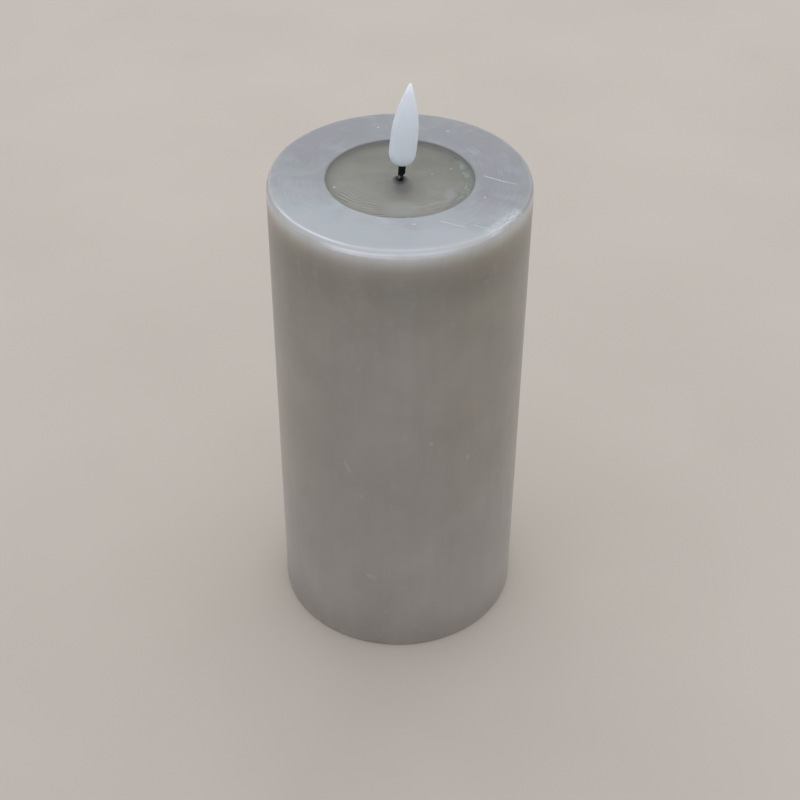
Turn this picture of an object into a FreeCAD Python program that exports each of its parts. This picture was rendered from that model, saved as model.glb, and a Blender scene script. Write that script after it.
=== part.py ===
import FreeCAD, Part
import math
import os

# A wax pillar candle with an electric flame. Millimetres. The origin is the centre of the
# ring that it stands on, +Z points up and the front is towards -Y.

# Wax body and the poured pool in its top
candle_diameter = 75.0
candle_height = 152.0
wax_wall = 7.0
roof_thickness = 7.2
shoulder_radius = 2.0
foot_radius = 1.0
pool_diameter = 41.5
pool_recess = 1.4
pool_thickness = 3.4
pool_lip_radius = 0.4
pool_hole_diameter = 2.4
pool_gap = 0.05
meniscus_rise = 0.35
moat_depth = 0.2
moat_start_share = 0.76
moat_share = 0.88

# Flame, wick and lamp
flame_length = 24.6
flame_diameter = 7.66
flame_wall = 0.9
flame_tip_radius = 0.45
flame_lean_degrees = 5.5
flame_rise = 5.8
flame_offset = 0.3
flame_foot_share = 0.34
flame_belly_share = 0.17
foot_across_share = 0.78
foot_up_share = 0.32

# The flame's outline: shares of its radius and length up the flank, and of its tip's radius at the tip
flank_shares = [(1, flame_belly_share), (0.995, 0.3), (0.955, 0.45), (0.775, 0.65), (0.5, 0.81)]
tip_shares = [(0.866, 0.5), (0.6, 0.2), (0.25, 0)]
sleeve_diameter = 1.8
sleeve_wall = 0.17
sleeve_rise = 2.2
sleeve_offset = 0.35
sleeve_gap = 0.05
sleeve_depth_in_flame = 2.6
lamp_diameter = 2.9
lamp_flange = 0.15
lamp_flange_height = 0.8
lamp_height = 5.0
lamp_dome_share = 0.95
leg_diameter = 0.45
leg_pitch = 0.8
leg_foot_offset = -0.25
leg_bend_low = 0.3
leg_bend_high = 1.6
leg_splay = 1.2
leg_splay_top = 1.2
leg_splay_height = 3.6
leg_tail = 4.0

# Bush under the roof that the legs come through
holder_flange_diameter = 12.0
holder_flange_thickness = 1.2
holder_tube_diameter = 4.4
holder_gap = 0.1

# Wires and the sleeves over their joints
wire_diameter = 1.2
solder_sleeve_length = 7.0
solder_sleeve_wall = 0.3
solder_sleeve_gap = 0.05

# Cells
cell_diameter = 14.2
cell_length = 50.5
cell_nub_height = 1.5
cell_nub_diameter = 5.3
cell_edge_radius = 0.6
cell_clearance = 0.4
rest_gap = 0.3

# Base housing
plate_setback = 1.0
plate_thickness = 2.0
plate_edge_radius = 0.3
flange_step = 1.5
housing_clearance = 0.3
skirt_wall = 1.6
skirt_height = 9.0
bay_wall = 1.2
tower_diameter = 4.8
tower_overlap = 0.2
post_diameter = 4.8
glue_height = 2.0
glue_gap = 0.05
glue_degrees = 30.0
glue_count = 4

# Battery door and its hinge
door_setback = 0.3
door_gap = 0.3
barrel_radius = 1.6
trunnion_radius = 0.9
trunnion_fit = 0.05
trunnion_reach = 1.8
trunnion_end_gap = 0.3
swing_clearance = 0.4
ear_width = 3.0
ear_depth = 5.2
ear_above_axis = 2.4
bead_radius = 0.5
bead_proud = 0.2
bead_length = 8.0
bead_groove_gap = 0.1
nail_recess_radius = 4.5
nail_recess_depth = 0.8
rib_height = 0.8
rib_width = 1.0

# Contacts and springs
contact_thickness = 0.4
contact_width = 8.4
contact_end_margin = 3.0
contact_edge_radius = 1.0
tab_width = 2.6
tab_height = 4.6
tab_gap = 0.2
stake_radius = 0.7
stake_head_radius = 1.2
stake_head_height = 0.5
stake_offset = 2.6
stake_gap = 0.05
spring_height = 5.2
spring_wire_diameter = 0.7
spring_base_radius = 3.55
spring_top_radius = 1.9
spring_bend_radius = 0.8
spring_turns = 2.5
spring_seat_gap = 0.1

# Cap over the bay
cap_thickness = 2.0
cap_edge_radius = 0.8

# Screws
screw_shank_diameter = 2.0
screw_head_diameter = 3.8
screw_head_height = 1.3
screw_head_round = 0.5
screw_gap = 0.05
cap_screw_length = 9.0
board_screw_length = 5.0
screw_hole_overrun = 0.8
recess_width = 0.6
recess_reach = 2.2
recess_depth = 0.7

# Board and what it carries
board_width = 30.0
board_depth = 12.0
board_thickness = 1.2
board_corner_radius = 1.0
board_edge_gap = 0.5
board_place_share = 0.467
board_screw_inset = 2.7
chip_length = 3.0
chip_width = 3.0
chip_height = 0.9
chip_stand = 0.15
chip_lead_pitch = 0.65
chip_lead_width = 0.3
chip_lead_length = 0.95
chip_lead_thickness = 0.15
chip_lead_count = 4
crystal_diameter = 2.0
crystal_length = 6.0
resistor_length = 2.0
resistor_width = 1.25
resistor_height = 0.5
resistor_pitch = 3.0
resistor_count = 3
capacitor_diameter = 5.0
capacitor_height = 7.0
capacitor_groove = 0.25
capacitor_groove_height = 1.2
part_gap = 0.05

# Places on the board, as shares of its width and depth from its centre
chip_place_shares = (0, -0.254)
crystal_place_shares = (-0.22, -0.283)
capacitor_place_shares = (0.227, -0.233)
back_row_share = 0.267
lamp_pad_share = 0.217
battery_pad_share = 0.333

# The wires' routes, chosen by hand. The shares are of the cavity's radius across, of the room in front
# of the bay, and of the wire's own height over the board.
wire_rise = 8.6
red_turn_share = 0.896
black_turn_share = 0.888
led_red_shares = [(-0.118, -0.286, 0.751), (-0.138, 0.045, 0.561), (-0.164, 0.307, 0.362),
                  (-0.236, 0.377, 0.187)]
led_black_shares = [(0.128, -0.317, 0.739), (0.118, 0.035, 0.544), (0.184, 0.276, 0.353),
                    (0.243, 0.397, 0.179)]
battery_red_out_share = 0.106
battery_black_out_share = 0.111
battery_red_shares = [(-0.275, 0.256, 0.886), (-0.334, 0.196, 0.663), (-0.367, 0.296, 0.346)]
battery_black_shares = [(0.292, 0.246, 0.877), (0.348, 0.286, 0.644), (0.357, 0.211, 0.346)]

# Slide switch under the board
switch_length = 8.6
switch_width = 4.4
switch_height = 4.7
switch_shell = 0.4
switch_gap = 0.5
switch_travel = 4.0
switch_slider_gap = 0.3
switch_slider_height = 1.6
switch_base_thickness = 1.0
switch_end_gap = 0.1
stem_length = 2.0
stem_width = 1.8
stem_setback = 0.5
stem_gap = 0.4
pin_width = 0.5
pin_above_board = 0.6
pin_pitch = 2.0
pin_count = 4
slot_recess_margin = 1.6
slot_recess_depth = 0.6

# One overrun serves every cut
overrun = 2.0

# A cord's arc takes this share of the shorter run at its corner
arc_share = 0.45

# How nearly two places have to agree to count as one
match_share = 0.001
gap_steps_per_turn = 48

# Places worked out from the sizes above
candle_radius = candle_diameter / 2
cavity_radius = candle_radius - wax_wall
pool_radius = pool_diameter / 2
pool_top = candle_height - pool_recess
pool_seat = pool_top - pool_thickness
cavity_top = pool_seat - roof_thickness

plate_bottom = plate_setback
plate_top = plate_bottom + plate_thickness
plate_middle = plate_bottom + plate_thickness / 2
flange_radius = cavity_radius + flange_step - housing_clearance
skirt_radius = cavity_radius - housing_clearance
skirt_top = plate_top + skirt_height

cell_x = (cell_diameter + cell_clearance) / 2
bay_half_width = cell_diameter + cell_clearance * 3 / 2
bay_half_depth = cell_diameter / 2 + cell_clearance

door_bottom = plate_bottom + door_setback
hinge_z = door_bottom + barrel_radius
hinge_y = bay_half_depth + bay_wall + door_gap + barrel_radius
door_half_width = bay_half_width - door_gap
opening_back = hinge_y + barrel_radius + swing_clearance
door_contact_top = hinge_z + contact_thickness

cell_a_bottom = door_contact_top + spring_height + rest_gap
cell_b_bottom = door_contact_top + rest_gap
contact_face = cell_a_bottom + cell_length
bay_top = contact_face + contact_thickness
cap_top = bay_top + cap_thickness
tower_x = bay_half_width + bay_wall + tower_diameter / 2 - tower_overlap
tab_front = -contact_width / 2
tab_middle = tab_front + contact_thickness / 2
tab_top = bay_top + tab_height

bay_front = bay_half_depth + bay_wall
board_room_radius = skirt_radius - skirt_wall
board_room_depth = board_room_radius - bay_front
board_centre_y = -bay_front - board_room_depth * board_place_share
board_bottom = plate_top + switch_gap + switch_height
board_top = board_bottom + board_thickness
board_screw_x = board_width / 2 - board_screw_inset
back_row_y = board_centre_y + board_depth * back_row_share
lamp_pad_x = board_width * lamp_pad_share
battery_pad_x = board_width * battery_pad_share
switch_bottom = board_bottom - switch_height
knob_x = -switch_travel / 2

flame_base = pool_top + flame_rise
lamp_base = flame_base + sleeve_depth_in_flame
leg_joint = cavity_top - holder_flange_thickness - leg_splay_top - leg_splay_height - leg_tail


def save(name, *solids):
    shape = solids[0] if len(solids) == 1 else Part.makeCompound(list(solids))
    good = shape.isValid() and all(solid.Volume > 0 for solid in shape.Solids)
    print(name, "solids", len(shape.Solids), "volume", round(shape.Volume, 2), "good", good)
    shape.exportStep("parts/" + name + ".step")


def block(low, high):
    size = FreeCAD.Vector(*high) - FreeCAD.Vector(*low)
    return Part.makeBox(size.x, size.y, size.z, FreeCAD.Vector(*low))


def slab(half_x, half_y, bottom, top, x=0, y=0):
    """A box centred on x and y."""
    return block((x - half_x, y - half_y, bottom), (x + half_x, y + half_y, top))


def rod(radius, bottom, top, x=0, y=0):
    return Part.makeCylinder(radius, top - bottom, FreeCAD.Vector(x, y, bottom))


def rod_along_x(radius, left, right, y, z):
    start = FreeCAD.Vector(left, y, z)
    return Part.makeCylinder(radius, right - left, start, FreeCAD.Vector(1, 0, 0))


def ring(outer, inner, bottom, top):
    return rod(outer, bottom, top).cut(rod(inner, bottom - overrun, top + overrun))


def round_upright_edges(shape, radius):
    edges = [edge for edge in shape.Edges if is_upright(edge)]
    return shape.makeFillet(radius, edges)


def is_upright(edge):
    first = edge.Vertexes[0].Point
    last = edge.Vertexes[-1].Point
    return abs(first.x - last.x) + abs(first.y - last.y) < abs(first.z - last.z) * match_share


def round_circle_edges(shape, radius, circle_radius, height):
    def wanted(edge):
        if not isinstance(edge.Curve, Part.Circle):
            return False
        right_size = abs(edge.Curve.Radius / circle_radius - 1) < match_share
        return right_size and abs(edge.Curve.Center.z - height) < radius * match_share
    edges = [edge for edge in shape.Edges if wanted(edge)]
    return shape.makeFillet(radius, edges)


def turned(edges):
    profile = Part.Face(Part.Wire(Part.sortEdges(edges)[0]))
    return profile.revolve(FreeCAD.Vector(0, 0, 0), FreeCAD.Vector(0, 0, 1), 360)


def profile_point(radius, height):
    return FreeCAD.Vector(radius, 0, height)


def profile_lines(points):
    corners = [profile_point(*point) for point in points]
    return [Part.LineSegment(a, b).toShape() for a, b in zip(corners, corners[1:])]


# Tubes on a route

def arc_through_corner(start, corner, end):
    """The arc that leaves start towards corner and reaches end as if from corner."""
    chord_middle = (start + end) / 2
    height = (corner - chord_middle).Length
    half_chord = (end - start).Length / 2
    rise = half_chord * math.tan(math.atan2(height, half_chord) / 2)
    middle = chord_middle + (corner - chord_middle) * (rise / height)
    return Part.Arc(start, middle, end).toShape()


def sweep_tube(edges, diameter):
    path = Part.Wire(edges)
    start = edges[0].valueAt(edges[0].FirstParameter)
    direction = edges[0].tangentAt(edges[0].FirstParameter)
    section = Part.Wire(Part.Circle(start, direction, diameter / 2).toShape())
    tube = path.makePipeShell([section], True, False)
    expected = math.pi * diameter ** 2 / 4 * path.Length
    return tube, path.Length, tube.Volume / expected


def corded(name, points, diameter):
    """A tube on straight runs, with an arc at each corner as large as its two runs allow."""
    corners = [FreeCAD.Vector(*point) for point in points]
    edges = []
    radii = []
    here = corners[0]
    for before, corner, after in zip(corners, corners[1:], corners[2:]):
        run_in = corner - before
        run_out = after - corner
        reach = arc_share * min(run_in.Length, run_out.Length)
        half_turn = run_in.getAngle(run_out) / 2
        radii.append(round(reach / math.tan(half_turn), 1))
        arc_start = corner - run_in.normalize() * reach
        arc_end = corner + run_out.normalize() * reach
        edges.append(Part.LineSegment(here, arc_start).toShape())
        edges.append(arc_through_corner(arc_start, corner, arc_end))
        here = arc_end
    edges.append(Part.LineSegment(here, corners[-1]).toShape())
    tube, length, ratio = sweep_tube(edges, diameter)
    print(name, "arc radii", radii, "length", round(length, 1), "volume ratio", round(ratio, 4))
    return tube


def biarc(start, start_direction, end, end_direction):
    """Two arcs that meet smoothly and follow the given directions at both ends."""
    span = end - start
    directions = start_direction + end_direction
    along = span.dot(directions)
    spread = 2 * (1 - start_direction.dot(end_direction))
    reach = (-along + math.sqrt(along ** 2 + spread * span.dot(span))) / spread
    first_corner = start + start_direction * reach
    last_corner = end - end_direction * reach
    meeting = (first_corner + last_corner) / 2
    first = arc_through_corner(start, first_corner, meeting)
    last = arc_through_corner(meeting, last_corner, end)
    return [first, last]


def spring_point(turn, height):
    """A place on the cone that the wire's centre line winds up, turn counted from its foot."""
    bottom = spring_wire_diameter + spring_bend_radius
    top = height - spring_wire_diameter / 2 - spring_seat_gap
    share = turn / spring_turns
    radius = spring_base_radius + (spring_top_radius - spring_base_radius) * share
    angle = 2 * math.pi * turn
    rise = (top - bottom) * share
    return FreeCAD.Vector(radius * math.cos(angle), radius * math.sin(angle), bottom + rise)


def spring_direction(turn, height):
    before = spring_point(turn - match_share, height)
    after = spring_point(turn + match_share, height)
    return (after - before).normalize()


def wound_spring(name, height):
    """A conical spring that stands on z = 0 on one straight leg, its coils getting narrower upwards."""
    quarters = round(spring_turns * 4)
    foot = spring_point(0, height)
    out = spring_direction(0, height)
    up = FreeCAD.Vector(0, 0, 1)
    leg_corner = foot - out * spring_bend_radius
    leg_top = FreeCAD.Vector(leg_corner.x, leg_corner.y, leg_corner.z - spring_bend_radius)
    leg_foot = FreeCAD.Vector(leg_corner.x, leg_corner.y, 0)
    edges = [Part.LineSegment(leg_foot, leg_top).toShape()]
    edges.extend(biarc(leg_top, up, foot, out))
    for quarter in range(quarters):
        first = quarter / 4
        last = first + 1 / 4
        edges.extend(biarc(spring_point(first, height), spring_direction(first, height),
                           spring_point(last, height), spring_direction(last, height)))
    end = spring_point(spring_turns, height)
    end_out = spring_direction(spring_turns, height)
    edges.append(Part.LineSegment(end, end + end_out * spring_wire_diameter).toShape())
    spring, length, ratio = sweep_tube(edges, spring_wire_diameter)
    report_spring_gap(name, height, length, ratio)
    return spring


def report_spring_gap(name, height, length, ratio):
    """Prints the least gap between the wire and itself, from points at least half a turn apart."""
    count = round(spring_turns * gap_steps_per_turn) + 1
    places = [spring_point(step / gap_steps_per_turn, height) for step in range(count)]
    apart = gap_steps_per_turn // 2
    gaps = [(places[a] - places[b]).Length for a in range(count) for b in range(a + apart, count)]
    gap = round(min(gaps) - spring_wire_diameter, 2)
    print(name, "least gap to itself", gap, "length", round(length, 1), "volume ratio", round(ratio, 4))


# Wax

def wax_body():
    step_radius = cavity_radius + flange_step
    body = rod(candle_radius, 0, candle_height)
    body = round_circle_edges(body, shoulder_radius, candle_radius, candle_height)
    body = round_circle_edges(body, foot_radius, candle_radius, 0)
    body = body.cut(rod(cavity_radius, -overrun, cavity_top))
    body = body.cut(rod(step_radius, -overrun, plate_top))
    body = body.cut(rod(pool_radius, pool_seat, candle_height + overrun))
    holder_hole = holder_tube_diameter / 2 + holder_gap
    body = body.cut(rod(holder_hole, cavity_top - overrun, pool_seat + overrun))
    return round_circle_edges(body, pool_lip_radius, pool_radius, candle_height)


def wax_pool():
    hole = pool_hole_diameter / 2
    edge = pool_radius - pool_gap
    moat_start = profile_point(pool_radius * moat_start_share, pool_top)
    moat = profile_point(pool_radius * moat_share, pool_top - moat_depth)
    shore = profile_point(edge, pool_top + meniscus_rise)
    top = Part.BSplineCurve()
    top.interpolate(Points=[moat_start, moat, shore], InitialTangent=FreeCAD.Vector(1, 0, 0),
                    FinalTangent=FreeCAD.Vector(1, 0, 1))
    outline = [(edge, pool_top + meniscus_rise), (edge, pool_seat), (hole, pool_seat), (hole, pool_top),
               (pool_radius * moat_start_share, pool_top)]
    return turned(profile_lines(outline) + [top.toShape()])


# Flame, wick and lamp

def teardrop(length, radius, base, tip_radius, foot_radius):
    """A closed drop on the Z axis: a round foot, a belly and a long taper to a round tip."""
    top = base + length
    belly = base + length * flame_belly_share
    flank_points = [profile_point(radius * across, base + length * up) for across, up in flank_shares]
    tip_places = [profile_point(tip_radius * across, top - tip_radius * down) for across, down in tip_shares]
    flank = Part.BSplineCurve()
    flank.interpolate(Points=flank_points + [tip_places[0]])
    foot_width = radius - foot_radius
    foot_height = belly - base
    foot_middle = profile_point(foot_radius + foot_width * foot_across_share,
                                base + foot_height * foot_up_share)
    foot = Part.Arc(profile_point(foot_radius, base), foot_middle, profile_point(radius, belly)).toShape()
    tip = Part.Arc(*tip_places).toShape()
    closing = profile_lines([(tip_places[-1].x, top), (0, top), (0, base), (foot_radius, base)])
    return turned([foot, flank.toShape(), tip] + closing)


def flame_bulb():
    outside_radius = flame_diameter / 2
    inside_radius = outside_radius - flame_wall
    inside_length = flame_length - flame_wall * 4
    foot = outside_radius * flame_foot_share
    bulb = teardrop(flame_length, outside_radius, 0, flame_tip_radius, foot)
    bulb = bulb.cut(teardrop(inside_length, inside_radius, flame_wall, flame_tip_radius, foot))
    bulb.rotate(FreeCAD.Vector(0, 0, 0), FreeCAD.Vector(0, 1, 0), flame_lean_degrees)
    bulb.translate(FreeCAD.Vector(flame_offset, 0, flame_base))
    way_in = rod(sleeve_diameter / 2 + sleeve_gap, flame_base - overrun, lamp_base, sleeve_offset)
    return bulb.cut(way_in)


def wick_sleeve():
    bottom = pool_top + sleeve_rise
    outside = rod(sleeve_diameter / 2, bottom, lamp_base, sleeve_offset)
    bore = rod(sleeve_diameter / 2 - sleeve_wall, bottom - overrun, lamp_base + overrun, sleeve_offset)
    return outside.cut(bore)


def led_lamp():
    radius = lamp_diameter / 2
    top = lamp_base + lamp_height
    body = rod(radius, lamp_base, top, sleeve_offset)
    body = round_circle_edges(body, radius * lamp_dome_share, radius, top)
    flange = rod(radius + lamp_flange, lamp_base, lamp_base + lamp_flange_height, sleeve_offset)
    return body.fuse(flange).removeSplitter()


def led_legs():
    legs = []
    low_bend = cavity_top - holder_flange_thickness - leg_splay_top
    for side in (-1, 1):
        splayed = leg_foot_offset + side * (leg_pitch / 2 + leg_splay)
        close = leg_foot_offset + side * leg_pitch / 2
        upper = sleeve_offset + side * leg_pitch / 2
        route = [(splayed, 0, leg_joint),
                 (splayed, 0, leg_joint + leg_tail),
                 (close, 0, low_bend),
                 (close, 0, pool_top - leg_bend_low),
                 (upper, 0, pool_top + leg_bend_high),
                 (upper, 0, lamp_base)]
        legs.append(corded("led_legs", route, leg_diameter))
    return legs


def led_holder():
    tube_radius = holder_tube_diameter / 2
    flange_bottom = cavity_top - holder_flange_thickness
    tube = rod(tube_radius, flange_bottom, pool_seat)
    flange = rod(holder_flange_diameter / 2, flange_bottom, cavity_top)
    bore = rod(pool_hole_diameter / 2, flange_bottom - overrun, pool_seat + overrun)
    return tube.fuse(flange).cut(bore).removeSplitter()


def lamp_wire_x(side):
    return leg_foot_offset + side * (leg_pitch / 2 + leg_splay)


def solder_sleeves():
    bore_radius = wire_diameter / 2 + solder_sleeve_gap
    bottom = leg_joint - solder_sleeve_length / 2
    top = leg_joint + solder_sleeve_length / 2
    sleeves = []
    for side in (-1, 1):
        x = lamp_wire_x(side)
        outside = rod(bore_radius + solder_sleeve_wall, bottom, top, x)
        sleeves.append(outside.cut(rod(bore_radius, bottom - overrun, top + overrun, x)))
    return sleeves


def in_front_of_bay(share):
    return -bay_front - board_room_depth * share


def up_the_wire(height, share):
    return board_top + (height - board_top) * share


def routed(shares, height):
    """The places that a wire's shares stand for, where height is that of its upper end."""
    return [(cavity_radius * across, in_front_of_bay(deep), up_the_wire(height, up))
            for across, deep, up in shares]


def down_to_pad(x):
    return [(x, back_row_y, board_top + wire_rise), (x, back_row_y, board_top)]


def led_wire_red():
    x = lamp_wire_x(-1)
    route = [(x, 0, leg_joint), (x, 0, up_the_wire(leg_joint, red_turn_share))]
    route += routed(led_red_shares, leg_joint) + down_to_pad(-lamp_pad_x)
    return corded("led_wire_red", route, wire_diameter)


def led_wire_black():
    x = lamp_wire_x(1)
    route = [(x, 0, leg_joint), (x, 0, up_the_wire(leg_joint, black_turn_share))]
    route += routed(led_black_shares, leg_joint) + down_to_pad(lamp_pad_x)
    return corded("led_wire_black", route, wire_diameter)


# Base housing

def base_housing():
    outer_half_width = bay_half_width + bay_wall
    outer_half_depth = bay_half_depth + bay_wall
    plate = rod(flange_radius, plate_bottom, plate_top)
    plate = round_circle_edges(plate, plate_edge_radius, flange_radius, plate_bottom)
    skirt = ring(skirt_radius, skirt_radius - skirt_wall, plate_middle, skirt_top)
    bay = slab(outer_half_width, outer_half_depth, plate_middle, bay_top)
    solid = plate.fuse(skirt).fuse(bay)
    for side in (-1, 1):
        post_x = side * board_screw_x
        solid = solid.fuse(rod(tower_diameter / 2, plate_middle, bay_top, side * tower_x))
        solid = solid.fuse(rod(post_diameter / 2, plate_middle, board_bottom, post_x, board_centre_y))
        solid = solid.fuse(hinge_ear(side))
    solid = solid.cut(slab(bay_half_width, bay_half_depth, plate_bottom - overrun, bay_top + overrun))
    solid = solid.cut(block((-bay_half_width, -bay_half_depth, plate_bottom - overrun),
                            (bay_half_width, opening_back, hinge_z + door_gap)))
    solid = solid.cut(trunnion_bore())
    solid = solid.cut(bead_groove())
    solid = solid.cut(nail_recess())
    solid = solid.cut(stem_slot())
    solid = solid.cut(screw_bores())
    return solid.removeSplitter()


def hinge_ear(side):
    x = side * (bay_half_width + ear_width / 2)
    return slab(ear_width / 2, ear_depth / 2, plate_middle, hinge_z + ear_above_axis, x, hinge_y)


def trunnion_bore():
    end = bay_half_width + trunnion_reach + trunnion_end_gap
    return rod_along_x(trunnion_radius + trunnion_fit, -end, end, hinge_y, hinge_z)


def bead_place():
    bead_y = -bay_half_depth + door_gap + bead_radius - bead_proud
    return bead_y, hinge_z - bead_radius


def bead_groove():
    bead_y, bead_z = bead_place()
    half = bead_length / 2 + bead_groove_gap
    return rod_along_x(bead_radius + bead_groove_gap, -half, half, bead_y - bead_proud, bead_z)


def nail_recess():
    top = plate_bottom + nail_recess_depth
    return rod(nail_recess_radius, plate_bottom - overrun, top, 0, -bay_half_depth)


def stem_slot():
    half_length = (stem_length + switch_travel) / 2 + stem_gap
    half_width = stem_width / 2 + stem_gap
    below = plate_bottom - overrun
    slot = slab(half_length, half_width, below, plate_top + overrun, 0, board_centre_y)
    recess = slab(half_length + slot_recess_margin, half_width + slot_recess_margin, below,
                  plate_bottom + slot_recess_depth, 0, board_centre_y)
    return slot.fuse(round_upright_edges(recess, slot_recess_margin / 2))


def screw_bores():
    radius = screw_shank_diameter / 2 + screw_gap
    bores = []
    for side in (-1, 1):
        bores.append(rod(radius, bay_top - cap_screw_length, bay_top + overrun, side * tower_x))
        low = board_bottom - board_screw_length + board_thickness - screw_hole_overrun
        bores.append(rod(radius, low, board_bottom + overrun, side * board_screw_x, board_centre_y))
    return Part.makeCompound(bores)


def base_glue():
    inner = skirt_radius - skirt_wall
    outer = cavity_radius - glue_gap
    beads = []
    for number in range(glue_count):
        peak = (outer, skirt_top + glue_height)
        corners = [(inner, skirt_top), (outer, skirt_top), peak, (inner, skirt_top)]
        face = Part.Face(Part.Wire(profile_lines(corners)))
        bead = face.revolve(FreeCAD.Vector(0, 0, 0), FreeCAD.Vector(0, 0, 1), glue_degrees)
        bead.rotate(FreeCAD.Vector(0, 0, 0), FreeCAD.Vector(0, 0, 1), 360 / glue_count * (number + 0.5))
        beads.append(bead)
    return beads


# Battery door

def battery_door():
    front = -bay_half_depth + door_gap
    plate = block((-door_half_width, front, door_bottom), (door_half_width, hinge_y, hinge_z))
    barrel = rod_along_x(barrel_radius, -door_half_width, door_half_width, hinge_y, hinge_z)
    end = bay_half_width + trunnion_reach
    trunnions = rod_along_x(trunnion_radius, -end, end, hinge_y, hinge_z)
    bead_y, bead_z = bead_place()
    bead = rod_along_x(bead_radius, -bead_length / 2, bead_length / 2, bead_y, bead_z)
    door = plate.fuse(barrel).fuse(trunnions).fuse(bead)
    middle = (door_bottom + hinge_z) / 2
    head_top = door_contact_top + stake_head_height
    rib_half_length = bay_half_depth - door_gap - rib_width
    for side in (-1, 1):
        stake_y = side * stake_offset
        rib_x = side * (door_half_width - rib_width / 2)
        door = door.fuse(rod(stake_radius, middle, head_top, 0, stake_y))
        door = door.fuse(rod(stake_head_radius, door_contact_top, head_top, 0, stake_y))
        door = door.fuse(slab(rib_width / 2, rib_half_length, middle, hinge_z + rib_height, rib_x))
    return door.removeSplitter()


def door_contact():
    half_length = bay_half_width - contact_end_margin
    plate = slab(half_length, contact_width / 2, hinge_z, door_contact_top)
    plate = round_upright_edges(plate, contact_edge_radius)
    hole_top = door_contact_top + overrun
    for side in (-1, 1):
        plate = plate.cut(rod(stake_radius + stake_gap, hinge_z - overrun, hole_top, 0, side * stake_offset))
    return plate


def door_spring():
    spring = wound_spring("door_spring", spring_height)
    spring.translate(FreeCAD.Vector(-cell_x, 0, door_contact_top))
    return spring


# Cells

def cell(nub_up):
    """A cell on the Z axis from z = 0, with its nub at the top, or at the bottom."""
    radius = cell_diameter / 2
    can_length = cell_length - cell_nub_height
    can = rod(radius, 0, can_length)
    can = round_circle_edges(can, cell_edge_radius, radius, can_length)
    can = round_circle_edges(can, cell_edge_radius, radius, 0)
    nub_radius = cell_nub_diameter / 2
    nub = rod(nub_radius, can_length - cell_edge_radius, cell_length)
    nub = round_circle_edges(nub, cell_edge_radius, nub_radius, cell_length)
    whole = can.fuse(nub).removeSplitter()
    if not nub_up:
        middle = FreeCAD.Vector(0, 0, cell_length / 2)
        whole.rotate(middle, FreeCAD.Vector(1, 0, 0), 180)
    return whole


def battery_cell_a():
    whole = cell(True)
    whole.translate(FreeCAD.Vector(-cell_x, 0, cell_a_bottom))
    return whole


def battery_cell_b():
    whole = cell(False)
    whole.translate(FreeCAD.Vector(cell_x, 0, cell_b_bottom))
    return whole


# Contacts and cap over the bay

def fixed_contact(x):
    plate = slab(contact_width / 2, contact_width / 2, contact_face, bay_top, x)
    tab = slab(tab_width / 2, contact_thickness / 2, contact_face, tab_top, x, tab_middle)
    return plate.fuse(tab).removeSplitter()


def negative_spring():
    height = contact_face - cell_b_bottom - cell_length
    spring = wound_spring("negative_spring", height)
    spring.rotate(FreeCAD.Vector(0, 0, 0), FreeCAD.Vector(1, 0, 0), 180)
    spring.translate(FreeCAD.Vector(cell_x, 0, contact_face))
    return spring


def bay_cap():
    cap = slab(bay_half_width + bay_wall, bay_half_depth + bay_wall, bay_top, cap_top)
    cap = round_upright_edges(cap, cap_edge_radius)
    for side in (-1, 1):
        cap = cap.fuse(rod(tower_diameter / 2, bay_top, cap_top, side * tower_x))
    low = bay_top - overrun
    high = cap_top + overrun
    slot_half_width = tab_width / 2 + tab_gap
    slot_half_depth = contact_thickness / 2 + tab_gap
    for side in (-1, 1):
        cap = cap.cut(slab(slot_half_width, slot_half_depth, low, high, side * cell_x, tab_middle))
        cap = cap.cut(rod(screw_shank_diameter / 2 + screw_gap, low, high, side * tower_x))
    return cap.removeSplitter()


def screw(x, y, seat, length):
    """A pan-head screw with a cross recess, its head on the seat and its shank below it."""
    head = rod(screw_head_diameter / 2, seat, seat + screw_head_height)
    head = round_circle_edges(head, screw_head_round, screw_head_diameter / 2, seat + screw_head_height)
    body = head.fuse(rod(screw_shank_diameter / 2, seat - length, seat))
    top = seat + screw_head_height
    for size_x, size_y in ((recess_reach, recess_width), (recess_width, recess_reach)):
        body = body.cut(slab(size_x / 2, size_y / 2, top - recess_depth, top + overrun))
    body.translate(FreeCAD.Vector(x, y, 0))
    return body


def cap_screws():
    return [screw(side * tower_x, 0, cap_top, cap_screw_length) for side in (-1, 1)]


def battery_wire_red():
    height = tab_top - wire_diameter
    route = [(-cell_x, tab_front, height), (-cell_x, in_front_of_bay(battery_red_out_share), height)]
    route += routed(battery_red_shares, height) + down_to_pad(-battery_pad_x)
    return corded("battery_wire_red", route, wire_diameter)


def battery_wire_black():
    height = tab_top - wire_diameter
    route = [(cell_x, tab_front, height), (cell_x, in_front_of_bay(battery_black_out_share), height)]
    route += routed(battery_black_shares, height) + down_to_pad(battery_pad_x)
    return corded("battery_wire_black", route, wire_diameter)


# Board and what it carries

def on_board(across_share, deep_share):
    return board_width * across_share, board_centre_y + board_depth * deep_share


def circuit_board():
    board = slab(board_width / 2, board_depth / 2, board_bottom, board_top, 0, board_centre_y)
    board = round_upright_edges(board, board_corner_radius)
    board = board.common(rod(board_room_radius - board_edge_gap, board_bottom, board_top))
    low = board_bottom - overrun
    high = board_top + overrun
    hole_radius = screw_shank_diameter / 2 + screw_gap
    for side in (-1, 1):
        board = board.cut(rod(hole_radius, low, high, side * board_screw_x, board_centre_y))
    return board.cut(pin_holes(low, high))


def board_screws():
    return [screw(side * board_screw_x, board_centre_y, board_top, board_screw_length) for side in (-1, 1)]


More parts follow.
